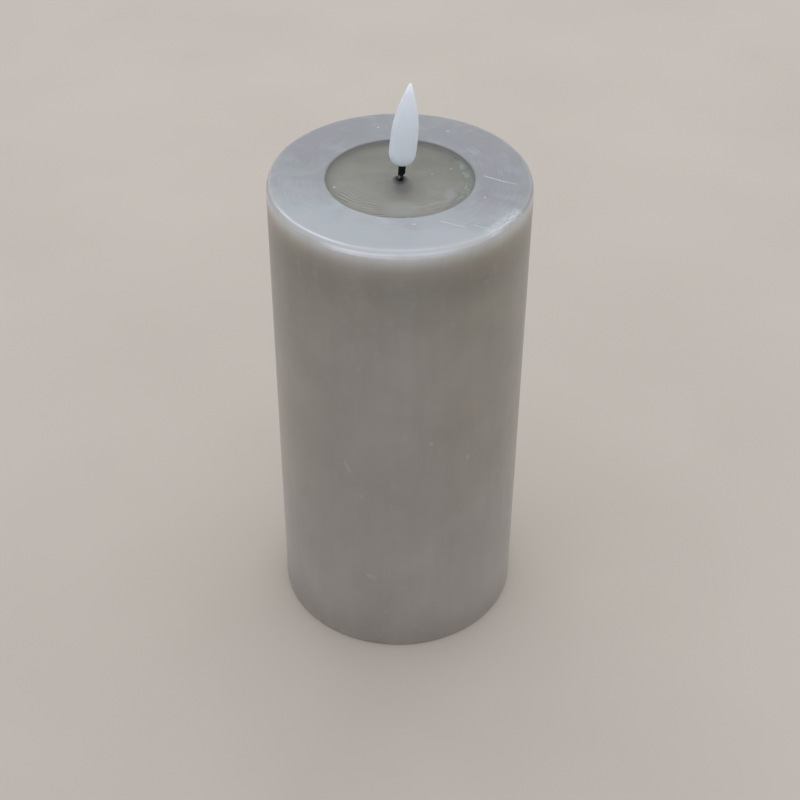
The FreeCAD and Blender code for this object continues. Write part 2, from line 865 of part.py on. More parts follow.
def timer_chip():
    middle_x, chip_y = on_board(*chip_place_shares)
    bottom = board_top + chip_stand
    chip = slab(chip_length / 2, chip_width / 2, bottom, bottom + chip_height, middle_x, chip_y)
    for number in range(chip_lead_count):
        x = middle_x + (number - (chip_lead_count - 1) / 2) * chip_lead_pitch
        for side in (-1, 1):
            chip = chip.fuse(chip_lead(x, chip_y, side))
    return chip.removeSplitter()


def chip_lead(x, chip_y, side):
    """A lead that leaves the chip's side at mid height, turns down and ends flat on the board."""
    thick = chip_lead_thickness
    half = chip_lead_width / 2
    half_arm = chip_lead_length / 4
    side_wall = chip_width / 2
    middle = board_top + chip_stand + chip_height / 2
    arm_top = middle + thick / 2
    arm_y = chip_y + side * (side_wall + half_arm)
    drop_y = chip_y + side * (side_wall + 2 * half_arm)
    foot_y = chip_y + side * (side_wall + 3 * half_arm)
    arm = slab(half, half_arm, arm_top - thick, arm_top, x, arm_y)
    drop = slab(half, thick / 2, board_top, arm_top, x, drop_y)
    foot = slab(half, half_arm, board_top, board_top + thick, x, foot_y)
    return arm.fuse(drop).fuse(foot)


def crystal():
    x, y = on_board(*crystal_place_shares)
    radius = crystal_diameter / 2
    half = crystal_length / 2
    return rod_along_x(radius, x - half, x + half, y, board_top + radius + part_gap)


def chip_resistors():
    resistors = []
    for number in range(resistor_count):
        x = (number - (resistor_count - 1) / 2) * resistor_pitch
        top = board_top + resistor_height
        resistors.append(slab(resistor_length / 2, resistor_width / 2, board_top, top, x, back_row_y))
    return resistors


def smoothing_capacitor():
    x, y = on_board(*capacitor_place_shares)
    radius = capacitor_diameter / 2
    can = rod(radius, board_top, board_top + capacitor_height)
    groove_top = board_top + capacitor_groove_height
    groove = ring(radius + overrun, radius - capacitor_groove, groove_top - capacitor_groove * 2, groove_top)
    can = can.cut(groove)
    can.translate(FreeCAD.Vector(x, y, 0))
    return can


# Slide switch

def pin_places():
    return [(number - (pin_count - 1) / 2) * pin_pitch for number in range(pin_count)]


def pin_holes(low, high):
    half = pin_width / 2 + part_gap
    return Part.makeCompound([slab(half, half, low, high, x, board_centre_y) for x in pin_places()])


def switch_frame():
    y = board_centre_y
    inner_half_length = switch_length / 2 - switch_shell
    inner_half_width = switch_width / 2 - switch_shell
    floor_top = switch_bottom + switch_shell
    slot_half_length = (stem_length + switch_travel) / 2 + switch_slider_gap
    slot_half_width = stem_width / 2 + stem_gap
    outside = slab(switch_length / 2, switch_width / 2, switch_bottom, board_bottom, 0, y)
    inside = slab(inner_half_length, inner_half_width, floor_top, board_bottom + overrun, 0, y)
    slot = slab(slot_half_length, slot_half_width, switch_bottom - overrun, floor_top + overrun, 0, y)
    return outside.cut(inside).cut(slot)


def switch_base():
    half_length = switch_length / 2 - switch_shell - switch_end_gap
    half_width = switch_width / 2 - switch_shell - switch_end_gap
    bottom = board_bottom - switch_base_thickness
    base = slab(half_length, half_width, bottom, board_bottom, 0, board_centre_y)
    return base.cut(pin_holes(bottom - overrun, board_bottom + overrun))


def switch_pins():
    half = pin_width / 2
    bottom = board_bottom - switch_base_thickness
    top = board_top + pin_above_board
    return [slab(half, half, bottom, top, x, board_centre_y) for x in pin_places()]


def switch_knob():
    y = board_centre_y
    half_length = switch_length / 2 - switch_shell - switch_travel / 2 - switch_slider_gap
    half_width = switch_width / 2 - switch_shell - rest_gap
    bottom = switch_bottom + switch_shell + rest_gap
    top = bottom + switch_slider_height
    slider = slab(half_length, half_width, bottom, top, knob_x, y)
    stem = slab(stem_length / 2, stem_width / 2, plate_bottom + stem_setback, top, knob_x, y)
    return slider.fuse(stem).removeSplitter()


def main():
    os.makedirs("parts", exist_ok=True)
    save("wax_body", wax_body())
    save("wax_pool", wax_pool())
    save("flame_bulb", flame_bulb())
    save("wick_sleeve", wick_sleeve())
    save("led_lamp", led_lamp())
    save("led_legs", *led_legs())
    save("led_holder", led_holder())
    save("solder_sleeves", *solder_sleeves())
    save("led_wire_red", led_wire_red())
    save("led_wire_black", led_wire_black())
    save("base_housing", base_housing())
    save("base_glue", *base_glue())
    save("battery_door", battery_door())
    save("door_contact", door_contact())
    save("door_spring", door_spring())
    save("battery_cell_a", battery_cell_a())
    save("battery_cell_b", battery_cell_b())
    save("bay_cap", bay_cap())
    save("cap_screws", *cap_screws())
    save("contact_positive", fixed_contact(-cell_x))
    save("contact_negative", fixed_contact(cell_x))
    save("negative_spring", negative_spring())
    save("battery_wire_red", battery_wire_red())
    save("battery_wire_black", battery_wire_black())
    save("circuit_board", circuit_board())
    save("board_screws", *board_screws())
    save("timer_chip", timer_chip())
    save("crystal", crystal())
    save("chip_resistors", *chip_resistors())
    save("smoothing_capacitor", smoothing_capacitor())
    save("switch_frame", switch_frame())
    save("switch_base", switch_base())
    save("switch_pins", *switch_pins())
    save("switch_knob", switch_knob())


main()
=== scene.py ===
import math
from functools import partial

import bmesh
import bpy
from mathutils import Euler, Matrix, Vector, noise


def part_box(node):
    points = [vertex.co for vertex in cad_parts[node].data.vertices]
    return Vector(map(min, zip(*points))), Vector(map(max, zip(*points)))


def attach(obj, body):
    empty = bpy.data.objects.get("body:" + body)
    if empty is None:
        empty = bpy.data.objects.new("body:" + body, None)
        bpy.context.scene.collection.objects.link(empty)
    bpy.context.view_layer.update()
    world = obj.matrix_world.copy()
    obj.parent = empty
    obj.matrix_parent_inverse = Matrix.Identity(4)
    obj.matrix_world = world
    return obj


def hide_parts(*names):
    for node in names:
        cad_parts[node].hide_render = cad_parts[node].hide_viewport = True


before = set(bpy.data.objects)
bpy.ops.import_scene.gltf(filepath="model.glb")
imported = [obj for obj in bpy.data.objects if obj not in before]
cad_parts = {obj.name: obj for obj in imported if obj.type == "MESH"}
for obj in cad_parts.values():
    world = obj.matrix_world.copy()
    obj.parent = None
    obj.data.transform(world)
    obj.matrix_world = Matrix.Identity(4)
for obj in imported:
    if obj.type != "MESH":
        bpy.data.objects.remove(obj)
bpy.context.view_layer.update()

# Sizes and places are in millimetres until a mesh is made. The frame gives those of the CAD pieces.
MM = 0.001


def corners_of(node):
    low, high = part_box(node)
    return low / MM, high / MM


WAX_LOW, WAX_HIGH = corners_of("wax_body")
POOL_LOW, POOL_HIGH = corners_of("wax_pool")
FLAME_LOW, FLAME_HIGH = corners_of("flame_bulb")
SLEEVE_LOW, SLEEVE_HIGH = corners_of("wick_sleeve")
HOUSING_LOW, _ = corners_of("base_housing")
DOOR_LOW, _ = corners_of("battery_door")
KNOB_LOW, KNOB_HIGH = corners_of("switch_knob")

# Wax body
WAX_RADIUS = WAX_HIGH.x
WAX_TOP = WAX_HIGH.z
WAX_WALL = 7.0
ROOF = 7.2
RIM_INSET = 0.75
RIM_INSET_FRONT = 0.7
RIM_DROP = 2.0
RIM_SPAN = 4.0
RIM_BEND = 1.3
RIM_SOFTNESS = 0.8
FOOT = 1.0
LIP = 0.6
STEP_WIDTH = 1.5
STEP_TOP = 3.0
HOLDER_HOLE = 2.3
RING_SINK = 0.14
SIDE_SINK = 0.1
RIDGE_RADIUS = 34.6

# Angles are in degrees round the candle from +X, the front at -90. Four angles or radii say where something
# starts, is full, begins to fade and ends.
RUB_ANGLE, RUB_SPREAD = -83, 24
CRISP_ANGLE, CRISP_SPREAD = -134, 22
RIDGE_ANGLES = (-72, -55, -30, -12)
WAX_STEPS = 400

# Pool
POOL_RADIUS = POOL_HIGH.x
POOL_WALL_RADIUS = POOL_RADIUS + 0.05
POOL_SEAT = POOL_LOW.z
POOL_RECESS = 1.4
POOL_TOP = WAX_TOP - POOL_RECESS
POOL_HOLE = 0.98
MOUND = 0.9
MENISCUS = 0.95
MOAT = 0.08
MOAT_SHARE = 0.84
MOUND_RADIUS = 4.4
RIDGE_PITCH = 1.3
POOL_STEPS = 420
DRAG_ANGLES, DRAG_RADII = (-170, -154, -112, -94), (12.6, 15, 19.6, 20.5)
DRAG_SLOPE, DRAG_START = 0.11, (-153, 20)
FOLD_ANGLES, FOLD_RADII = (-80, -64, -34, -12), (9, 12, 17.6, 19)
FOLD_SLOPE, FOLD_START = -0.05, (-75, 13)
FOAM_ANGLES, FOAM_START, FOAM_END = (-56, -28, 22, 46), 17.5, (20.0, 20.6)
LOBE_CENTRE, LOBE_SIZE = (0.9, -14.6), (4.2, 4.0)
# Where the painted shade along the pool's edge lies
EDGE_SHADE_RADII = (17.4, 20.7)

# Flame: shares of its radius and length, as in the CAD outline
FLAME_LENGTH = 24.6
FLAME_RADIUS = 3.83
FLAME_WALL = 0.9
FLAME_LEAN = 5.5
FLAME_BASE = Vector((0.3, 0, 156.4))
FLAME_TIP = 0.45
FOOT_SHARE = 0.34
BELLY_SHARE = 0.17
FLANK_SHARES = [(1, BELLY_SHARE), (0.995, 0.3), (0.955, 0.45), (0.775, 0.65), (0.5, 0.81)]
TIP_SHARES = [(0.866, 0.5), (0.6, 0.2), (0.25, 0)]
FLAME_STEPS = 96

# Wick sleeve
SLEEVE_RADIUS = 1.08
SLEEVE_BORE = 0.84
SLEEVE_LEAN = 3.1
SLEEVE_FOOT = 0.42
SLEEVE_STEPS = 48

# Underside: the door's grip ribs, and the switch's words and ticks, counted from the door's and knob's middle
RIB_HALF = (8.0, 0.45)
RIB_HEIGHT = 0.3
RIB_PLACES = (-1.6, 0.1, 1.8, 3.5, 5.2)
WORDS = [("OFF", -6.4), ("ON", -0.3), ("TIMER", 6.6)]
WORD_SIZE = 2.3
WORD_DISTANCE = 5.6
WORD_HALF_DEPTH = 0.17
WORD_BEVEL = 0.03
WORD_DROP = 0.07
TICK_HALF = (0.16, 0.5)
TICK_PLACES = (-2, 0, 2)
TICK_DISTANCE = 1.9
TICK_ENDS = (0.05, -0.22)

# The cells' printed film: the nub above it and its dark band. The chip resistors and their tinned ends.
CELL_NUB, CELL_BAND = 1.5, 13
CHIP_LENGTH, CHIP_GLAZE_HALF = 2.0, 0.68

# The photo's camera, fitted to the candle's outline: its frame and focal length in pixels, its turns in
# degrees and its place in metres
FRAME_PIXELS, FOCAL_PIXELS = 800, 1545.65
CAMERA_DOWN, CAMERA_SIDEWAYS, CAMERA_ROLL = 39.33, 0.06, 0.37
CAMERA_PLACE = (0, -0.37278, 0.37703)

# The side's colour by its share of the height, with painted light: a painted glow, palest at the top where
# light comes through from the top, a painted darker band under it, and a little darker towards the foot
SIDE_TONES_AND_PAINTED_LIGHT = [(0.0, "#9C968D"), (0.12, "#A39E96"), (0.76, "#A39E96"), (0.85, "#9C978E"), (0.91, "#949087"),
             (0.935, "#989289"), (0.955, "#A29C93"), (0.965, "#B0ABA4"), (0.976, "#C3C2BD"),
             (0.984, "#CDCFCD")]

# Marks on the wax: scratches as (start, end, width), spots as (centre, size) and how much narrower they are
# along each axis. Those on the side are placed by their pixels in the photo.
RING_SCRATCHES = [((11.0, -22.5, 151.95), (17.4, -25.3, 151.95), 0.28),
                  ((23.6, 0.9, 151.95), (29.2, -2.2, 151.95), 0.3),
                  ((27.2, -1.2, 151.95), (32.4, -3.4, 151.95), 0.2),
                  ((19.8, -24.2, 151.95), (24.0, -26.4, 151.9), 0.2)]
# The first ring spot, at the pool's front lip, is a painted glint; the others and the scratches are pale
# marks
RING_SPOTS = [((2.2, -20.9, 151.9), 0.75, (0.7, 1.4, 1)), ((3.8, -24.0, 151.95), 0.5, (0.6, 1.4, 1)),
              ((23.3, -10.3, 151.95), 0.4), ((-6.5, 27.9, 151.95), 0.45), ((13.9, 25.8, 151.95), 0.45)]
SIDE_SCRATCHES = [((366.5, 574.5), (376.0, 576.8), 0.45), ((368.0, 576.0), (375.0, 579.5), 0.45),
                  ((344.5, 461.5), (349.5, 471.0), 0.45), ((467.8, 454.5), (467.8, 458.5), 0.5)]
# A painted highlight at the rim's right, broken up like scratches, as (start, end, width)
RIM_SCRAPE_HIGHLIGHT = ((24.0, -27.2, 151.8), (31.8, -17.4, 151.8), 2.3)
SIDE_SPOTS = [((431.5, 444.3), 0.65, (1, 1, 0.7)), ((361.3, 496.6), 0.5, (1, 1, 0.7)), ((459.7, 506), 0.45)]
POOL_SPOTS = [((-18.3, -3.3, 150.4), 0.45, (0.7, 1.2, 0.5)), ((14.4, 6.8, 150.6), 0.3, (0.7, 1.2, 0.5)),
              ((9.0, 4.0, 150.6), 0.25, (0.7, 1.2, 0.5))]
TONGUE = ((0.9, -14.4, 150.4), 6.0, (1.0, 1.1, 0.2))
POOL_STREAK = ((3.7, -13.9, 150.6), (13.0, -10.1, 150.6), 0.6)
GREY_PATCH = ((13.9, -6.9, 150.6), 3.0, (1.5, 0.8, 0.3))
# Painted shadow of the wick and flame on the pool in front of the wick
WICK_SHADOW_HALO = ((0.3, -3.2, 150.6), 8.5, (1, 0.8, 0.5))
WICK_SHADOW_CORE = ((0.9, -3.0, 150.6), 3.8, (1.0, 0.7, 0.5))
# Painted shade in the mouth of the wick's hole
HOLE_MOUTH_SHADE = ((0.0, -0.2, 150.6), 2.7, (1, 0.85, 0.1))
# The legs: darker where they leave the pool, and a painted glint on one
LEG_DARKENING = ((0, 0, 151.2), 3.2)
LEG_GLINT = ((-0.5, -0.2, 152.1), 2.1, (2, 1, 1))

# The setting of a mix that multiplies its colours
MULTIPLIED = {"blend_type": "MULTIPLY"}


# Meshes

def placed(name, data):
    """An object that shows the data, in the scene."""
    piece = bpy.data.objects.new(name, data)
    bpy.context.scene.collection.objects.link(piece)
    return piece


def mesh_of(name, verts, faces):
    """A mesh of points in metres."""
    mesh = bpy.data.meshes.new(name)
    mesh.from_pydata(verts, [], faces)
    return mesh


def finished(name, mesh, sharp_degrees=30):
    """An object of the mesh in metres, its faces outward and smooth but for its sharp edges."""
    work = bmesh.new()
    work.from_mesh(mesh)
    bmesh.ops.remove_doubles(work, verts=work.verts, dist=MM * 0.002)
    bmesh.ops.recalc_face_normals(work, faces=work.faces)
    work.to_mesh(mesh)
    work.free()
    mesh.shade_smooth()
    mesh.set_sharp_from_angle(angle=math.radians(sharp_degrees))
    return placed(name, mesh)


def turned(name, profile, steps, closed, sunk):
    """A piece turned about Z from (radius, height) pairs, outside to the right of the way they run.

    The profile may be a function of the angle. Each point sinks in by sunk(point, normal)."""
    verts = []
    for step in range(steps):
        degrees = (step / steps - 0.5) * 360
        spin = Matrix.Rotation(math.radians(degrees), 3, "Z")
        places = profile(degrees) if callable(profile) else profile
        count = len(places)
        for row, (radius, height) in enumerate(places):
            before = places[row - 1] if closed or row else places[row]
            after = places[(row + 1) % count] if closed or row < count - 1 else places[row]
            outward = spin @ Vector((after[1] - before[1], 0, before[0] - after[0])).normalized()
            point = spin @ Vector((radius, 0, height))
            verts.append((point - outward * sunk(point, outward)) * MM)
    faces = []
    for step in range(steps):
        here = step * count
        there = (step + 1) % steps * count
        for row in range(count if closed else count - 1):
            after = (row + 1) % count
            faces.append((here + row, there + row, there + after, here + after))
    return finished(name, mesh_of(name, verts, faces))


def line(start, end, count):
    """Evenly spaced places from start up to, but not at, end."""
    return [tuple(a + (b - a) * step / count for a, b in zip(start, end)) for step in range(count)]


def arc(centre, radius, first_degrees, last_degrees, count):
    """Places on an arc from its first angle up to, but not at, its last."""
    places = []
    for step in range(count):
        angle = math.radians(first_degrees + (last_degrees - first_degrees) * step / count)
        places.append((centre[0] + radius * math.cos(angle), centre[1] + radius * math.sin(angle)))
    return places


def smooth_flank(points, count):
    """A line through (radius, height) points that bulges nowhere between them, the last point too."""
    slopes = [(b[0] - a[0]) / (b[1] - a[1]) for a, b in zip(points, points[1:])]
    tangents = [0.0]
    for first, last in zip(slopes, slopes[1:]):
        tangents.append(2 * first * last / (first + last) if first * last > 0 else 0.0)
    tangents.append(slopes[-1])
    places = []
    for index, slope in enumerate(slopes):
        start, low = points[index]
        span = points[index + 1][1] - low
        for step in range(count):
            t = step / count
            radius = start + t * span * tangents[index]
            radius += t ** 2 * span * (3 * slope - 2 * tangents[index] - tangents[index + 1])
            radius += t ** 3 * span * (tangents[index] + tangents[index + 1] - 2 * slope)
            places.append((radius, low + span * t))
    return places + [points[-1]]


def ramp(value, low, high):
    """0 below low, 1 above high, and a smooth rise between."""
    share = min(max((value - low) / (high - low), 0), 1)
    return share * share * (3 - 2 * share)


def plateau(value, start, full, fading, end):
    """0 outside start and end, 1 from full to fading, and smooth between."""
    return ramp(value, start, full) * (1 - ramp(value, fading, end))


def hump(distance, width):
    return math.exp(-(distance / width) ** 2)


def rough(point, size, seed=0):
    """Smooth noise from about -1 to 1 whose lumps are about size wide."""
    return noise.noise(point / size + Vector((seed, seed * 2, seed * 3)))


def polar(point):
    return math.hypot(point.x, point.y), math.degrees(math.atan2(point.y, point.x))


def camera_turn():
    turn = Euler((math.radians(90 - CAMERA_DOWN), 0, -math.radians(CAMERA_SIDEWAYS))).to_matrix()
    return turn @ Matrix.Rotation(math.radians(CAMERA_ROLL), 3, "Z")


def on_side(pixel):
    """The place on the wax's side that the photo shows at a pixel, to 0.1 mm."""
    across, down = pixel
    eye = Vector(CAMERA_PLACE) / MM
    way = camera_turn() @ Vector((across - FRAME_PIXELS / 2, FRAME_PIXELS / 2 - down, -FOCAL_PIXELS))
    steepness, nearing = way.xy.length_squared, eye.xy.dot(way.xy)
    outside = eye.xy.length_squared - WAX_RADIUS ** 2
    share = (-nearing - math.sqrt(nearing ** 2 - steepness * outside)) / steepness
    return [round(value, 1) for value in eye + way * share]


# Wax body: the cast shell, with the slack, uneven surface that wax takes as it cools

def bend(start, corner, end, count):
    """Places on a soft bend from start round the corner, up to but not at its end."""
    places = []
    for step in range(count):
        t = step / count
        places.append(tuple(a * (1 - t) ** 2 + b * 2 * t * (1 - t) + c * t ** 2
                            for a, b, c in zip(start, corner, end)))
    return places


def rim_inset(degrees):
    """How far the ring stops short of the side: most at the front, where the rim was rubbed down."""
    return RIM_INSET + RIM_INSET_FRONT * hump(degrees - RUB_ANGLE, RUB_SPREAD)


def rim(degrees):
    """The rim at one angle round the candle, from the side up the rubbed face and onto the ring."""
    low = (WAX_RADIUS, WAX_TOP - RIM_DROP)
    high = (WAX_RADIUS - rim_inset(degrees), WAX_TOP)
    face = Vector(high) - Vector(low)
    low_end = tuple(Vector(low) + face * 0.5)
    softness = RIM_SOFTNESS - 0.35 * hump(degrees - CRISP_ANGLE, CRISP_SPREAD)
    high_start = tuple(Vector(high) - face.normalized() * softness)
    high_end = (high[0] - softness * 1.3, WAX_TOP)
    low_start = (WAX_RADIUS, low[1] - RIM_BEND)
    places = line((WAX_RADIUS, WAX_TOP - RIM_SPAN), low_start, 3)
    places += bend(low_start, low, low_end, 12)
    places += line(low_end, high_start, 6)
    places += bend(high_start, high, high_end, 8)
    return places + line(high_end, (WAX_RADIUS - RIM_SPAN, WAX_TOP), 8)


def wax_profile(degrees):
    cavity = WAX_RADIUS - WAX_WALL
    ceiling = POOL_SEAT - ROOF
    step = cavity + STEP_WIDTH
    profile = line((step, 0), (WAX_RADIUS - FOOT, 0), 3)
    profile += arc((WAX_RADIUS - FOOT, FOOT), FOOT, -90, 0, 8)
    profile += line((WAX_RADIUS, FOOT), (WAX_RADIUS, WAX_TOP - RIM_SPAN), 90)
    profile += rim(degrees)
    profile += line((WAX_RADIUS - RIM_SPAN, WAX_TOP), (POOL_WALL_RADIUS + LIP, WAX_TOP), 60)
    profile += arc((POOL_WALL_RADIUS + LIP, WAX_TOP - LIP), LIP, 90, 180, 8)
    profile += line((POOL_WALL_RADIUS, WAX_TOP - LIP), (POOL_WALL_RADIUS, POOL_SEAT), 12)
    profile += line((POOL_WALL_RADIUS, POOL_SEAT), (HOLDER_HOLE, POOL_SEAT), 4)
    profile += line((HOLDER_HOLE, POOL_SEAT), (HOLDER_HOLE, ceiling), 4)
    profile += line((HOLDER_HOLE, ceiling), (cavity, ceiling), 6)
    profile += line((cavity, ceiling), (cavity, STEP_TOP), 12)
    profile += line((cavity, STEP_TOP), (step, STEP_TOP), 2)
    profile += line((step, STEP_TOP), (step, 0), 2)
    return profile


def ring_relief(point):
    """How far the ring and shoulder lie under their highest level."""
    radius, angle = polar(point)
    sink = 0.5 - 0.35 * rough(point, 11, 3) - 0.16 * rough(point, 4.5, 7)
    swept = Vector((radius / 1.1, angle / 16, 0))
    sink -= 0.12 * rough(swept, 1, 11)
    right_ridge = hump(radius - RIDGE_RADIUS, 0.7) * plateau(angle, *RIDGE_ANGLES)
    sink -= 0.4 * hump(radius - WAX_RADIUS + rim_inset(angle) + 0.3, 0.35) + 0.22 * right_ridge
    return RING_SINK * min(max(sink, 0), 1)


def side_relief(point):
    """The side's slack waves, and the long soft flats that run down it."""
    flats = Vector((polar(point)[1] / 22, 0, point.z / 90))
    sink = 0.5 - 0.4 * rough(flats, 1, 5) - 0.25 * rough(point, 14, 9)
    return SIDE_SINK * min(max(sink, 0), 1)


def wax_sunk(point, outward):
    radius = math.hypot(point.x, point.y)
    if radius < POOL_WALL_RADIUS + LIP / 2 or point.z < FOOT:
        return 0
    if point.z > WAX_TOP - LIP and radius < POOL_WALL_RADIUS + LIP * 2:
        return 0
    if radius < WAX_RADIUS - WAX_WALL / 2 and point.z < WAX_TOP - LIP * 2:
        return 0
    top = ramp(point.z, WAX_TOP - RIM_DROP, WAX_TOP - LIP)
    near_pool = ramp(radius, POOL_WALL_RADIUS + LIP * 2, POOL_WALL_RADIUS + LIP * 6)
    near_foot = ramp(point.z, FOOT, FOOT * 8)
    return ring_relief(point) * top * near_pool + side_relief(point) * (1 - top) * near_foot


def wax_shell():
    return turned("wax_shell", wax_profile, WAX_STEPS, True, wax_sunk)


# Pool: poured wax, dragged into ridges at the front left and lumpy at its right edge

def moat_level(radius):
    """The level near the edge: a shallow moat, then the rise where wax has crept up the wall."""
    inside = POOL_RADIUS * MOAT_SHARE
    if radius < inside:
        return 0
    share = (radius - inside) / (POOL_RADIUS - inside)
    return -MOAT * math.sin(math.pi * min(share * 1.12, 1)) + MENISCUS * share ** 4


def wave(phase):
    """Narrow crests at whole numbers, with narrow grooves half way between them, from 0.6 to -1."""
    swing = 0.5 + 0.5 * math.cos(2 * math.pi * phase)
    return 0.6 * swing ** 3 - (1 - swing) ** 3


def drag_ridges(point, radius, angle):
    """Long ridges and grooves that start at the left edge and run inwards towards the front."""
    along_ridge = DRAG_SLOPE * (angle - DRAG_START[0])
    phase = (radius + along_ridge - DRAG_START[1]) / RIDGE_PITCH + 0.9 * rough(point, 5, 21)
    reach = plateau(angle, *DRAG_ANGLES) * plateau(radius, *DRAG_RADII)
    return reach * wave(phase) * min(max(0.5 + 1.3 * rough(point, 3.0, 25), 0), 1)


def fold_ridges(point, radius, angle):
    """Shorter, fainter folds at the front right, inside the foamy band."""
    along_fold = FOLD_SLOPE * (angle - FOLD_START[0])
    phase = (radius + along_fold - FOLD_START[1]) / RIDGE_PITCH + 1.1 * rough(point, 4, 23)
    reach = plateau(angle, *FOLD_ANGLES) * plateau(radius, *FOLD_RADII)
    return reach * wave(phase) * min(max(0.3 + 1.1 * rough(point, 2.6, 27), 0), 1)


def front_lobe(point):
    """A smooth tongue of wax that ran to the front edge and spread there."""
    swerve = 0.6 * rough(point, 3, 29)
    x = (point.x - LOBE_CENTRE[0] + swerve) / LOBE_SIZE[0]
    y = (point.y - LOBE_CENTRE[1] + swerve) / LOBE_SIZE[1]
    return 1 - ramp(Vector((x, y)).length, 0.55, 1.15)


def lumpy_edge(point, radius, angle):
    """The foamy band along the right edge, which starts at an uneven line."""
    start = FOAM_START + 0.9 * rough(point, 2.2, 31)
    band = plateau(angle, *FOAM_ANGLES) * plateau(radius, start, start + 0.8, *FOAM_END)
    lumps = 0.42 + 0.7 * rough(point, 1.7, 33) + 0.75 * rough(point, 0.6, 35)
    return band * min(max(lumps, 0), 1), band


def pool_marks(point):
    """The pool's ridges and folds, below 0 in their grooves, the lumps of its foam and the foamy band."""
    radius, angle = polar(point)
    lobe = front_lobe(point)
    marks = drag_ridges(point, radius, angle) + 0.55 * fold_ridges(point, radius, angle)
    return (marks * (1 - lobe), *lumpy_edge(point, radius, angle))


def pool_level(point):
    """The pool's height at a place, counted from its plain level."""
    radius, angle = polar(point)
    lobe = front_lobe(point)
    level = moat_level(radius) + 0.05 * rough(point, 7, 41) + 0.02 * rough(point, 2.2, 43)
    level += 0.14 * pool_marks(point)[0]
    level += 0.12 * lobe + 0.11 * lumpy_edge(point, radius, angle)[0]
    level += MOUND * (1 - ramp(radius, POOL_HOLE + 0.2, MOUND_RADIUS)) - 0.35 * hump(radius - POOL_HOLE, 0.35)
    steady = 1 - ramp(radius, POOL_RADIUS - 0.4, POOL_RADIUS)
    return level * steady + moat_level(radius) * (1 - steady)


def pool_surface():
    """The poured pool. Its top rows are close together, because its ridges are part of the mesh."""
    profile = line((POOL_HOLE, POOL_SEAT), (POOL_RADIUS, POOL_SEAT), 6)
    profile += line((POOL_RADIUS, POOL_SEAT), (POOL_RADIUS, POOL_TOP), 4)
    profile += line((POOL_RADIUS, POOL_TOP), (POOL_HOLE, POOL_TOP), 120)
    profile += line((POOL_HOLE, POOL_TOP), (POOL_HOLE, POOL_SEAT), 5)
    verts, marks = [], []
    for row, (radius, height) in enumerate(profile):
        for step in range(POOL_STEPS):
            angle = 2 * math.pi * step / POOL_STEPS
            point = Vector((radius * math.cos(angle), radius * math.sin(angle), height))
            marks.append(pool_marks(point))
            if height > POOL_TOP - MOAT:
                point.z += pool_level(point)
            verts.append(point * MM)
    faces = []
    for row in range(len(profile)):
        low = row * POOL_STEPS
        high = (row + 1) % len(profile) * POOL_STEPS
        for step in range(POOL_STEPS):
            after = (step + 1) % POOL_STEPS
            faces.append((low + step, low + after, high + after, high + step))
    mesh = mesh_of("pool_surface", verts, faces)
    kept = mesh.attributes.new("marks", "FLOAT_VECTOR", "POINT")
    for place, value in zip(kept.data, marks):
        place.vector = value
    return finished("pool_surface", mesh, 50)


# Flame and wick

def drop_outline(length, radius, base, foot_height):
    """The drop's outline from its foot up to the tip, as (radius, height) pairs."""
    foot = FLAME_RADIUS * FOOT_SHARE
    belly = base + foot_height
    outline = []
    for step in range(14):
        angle = math.pi / 2 * step / 14
        outline.append((foot + (radius - foot) * math.sin(angle) ** 0.94,
                        belly - (belly - base) * math.cos(angle)))
    flank = [(radius * across, base + length * up) for across, up in FLANK_SHARES]
    top = base + length
    tip = [(FLAME_TIP * across, top - FLAME_TIP * down) for across, down in TIP_SHARES]
    outline += smooth_flank(flank + tip[:1], 9)
    return outline + tip[1:] + [(0.0, top)]


def flame_shell():
    """The hollow frosted drop, open at its foot where the sleeve comes in, leaning to the right."""
    way_in = SLEEVE_RADIUS + 0.05
    outside = drop_outline(FLAME_LENGTH, FLAME_RADIUS, 0, FLAME_LENGTH * BELLY_SHARE)
    inside_length = FLAME_LENGTH - FLAME_WALL * 4
    inside = drop_outline(inside_length, FLAME_RADIUS - FLAME_WALL, FLAME_WALL, inside_length * BELLY_SHARE)
    profile = inside[::-1] + [(way_in, FLAME_WALL), (way_in, 0)] + outside

    def moulded(point, outward):
        radius = math.hypot(point.x, point.y)
        if radius < way_in + LIP or outward.z < -0.9:
            return 0
        return 0.05 * (0.5 - 0.5 * rough(point, 5, 51))
    flame = turned("flame_shell", profile, FLAME_STEPS, False, moulded)
    lean = Matrix.Translation(FLAME_BASE * MM) @ Matrix.Rotation(math.radians(FLAME_LEAN), 4, "Y")
    flame.data.transform(lean)
    return flame


def wick_shrink():
    """The shrunk sleeve: a little narrower where it has only wire in it, its lower end cut aslant."""
    length = SLEEVE_HIGH.z - SLEEVE_LOW.z

    def outer(share):
        return SLEEVE_RADIUS * (0.97 + 0.03 * ramp(share, 0.35, 0.9) - 0.02 * hump(share - 0.25, 0.12))
    rows = 26
    outside = [(outer(step / rows), length * step / rows) for step in range(rows + 1)]
    inside = [(SLEEVE_BORE, length * step / rows) for step in range(rows, -1, -1)]

    def shrunk(point, outward):
        if point.x ** 2 + point.y ** 2 < (SLEEVE_BORE + 0.05) ** 2:
            return 0
        return 0.01 * (1 + rough(point, 0.9, 61))
    sleeve = turned("wick_shrink", outside + inside, SLEEVE_STEPS, True, shrunk)
    for vert in sleeve.data.vertices:
        low_share = 1 - ramp(vert.co.z / MM, 0, length * 0.3)
        vert.co.z += max(vert.co.x * 0.6 + SLEEVE_RADIUS * MM * 0.1, 0) * low_share
    foot = Vector((SLEEVE_FOOT, 0, SLEEVE_LOW.z))
    lean = Matrix.Rotation(math.radians(SLEEVE_LEAN), 4, "Y")
    sleeve.data.transform(Matrix.Translation(foot * MM) @ lean)
    return sleeve


# Underside details that the solids leave out

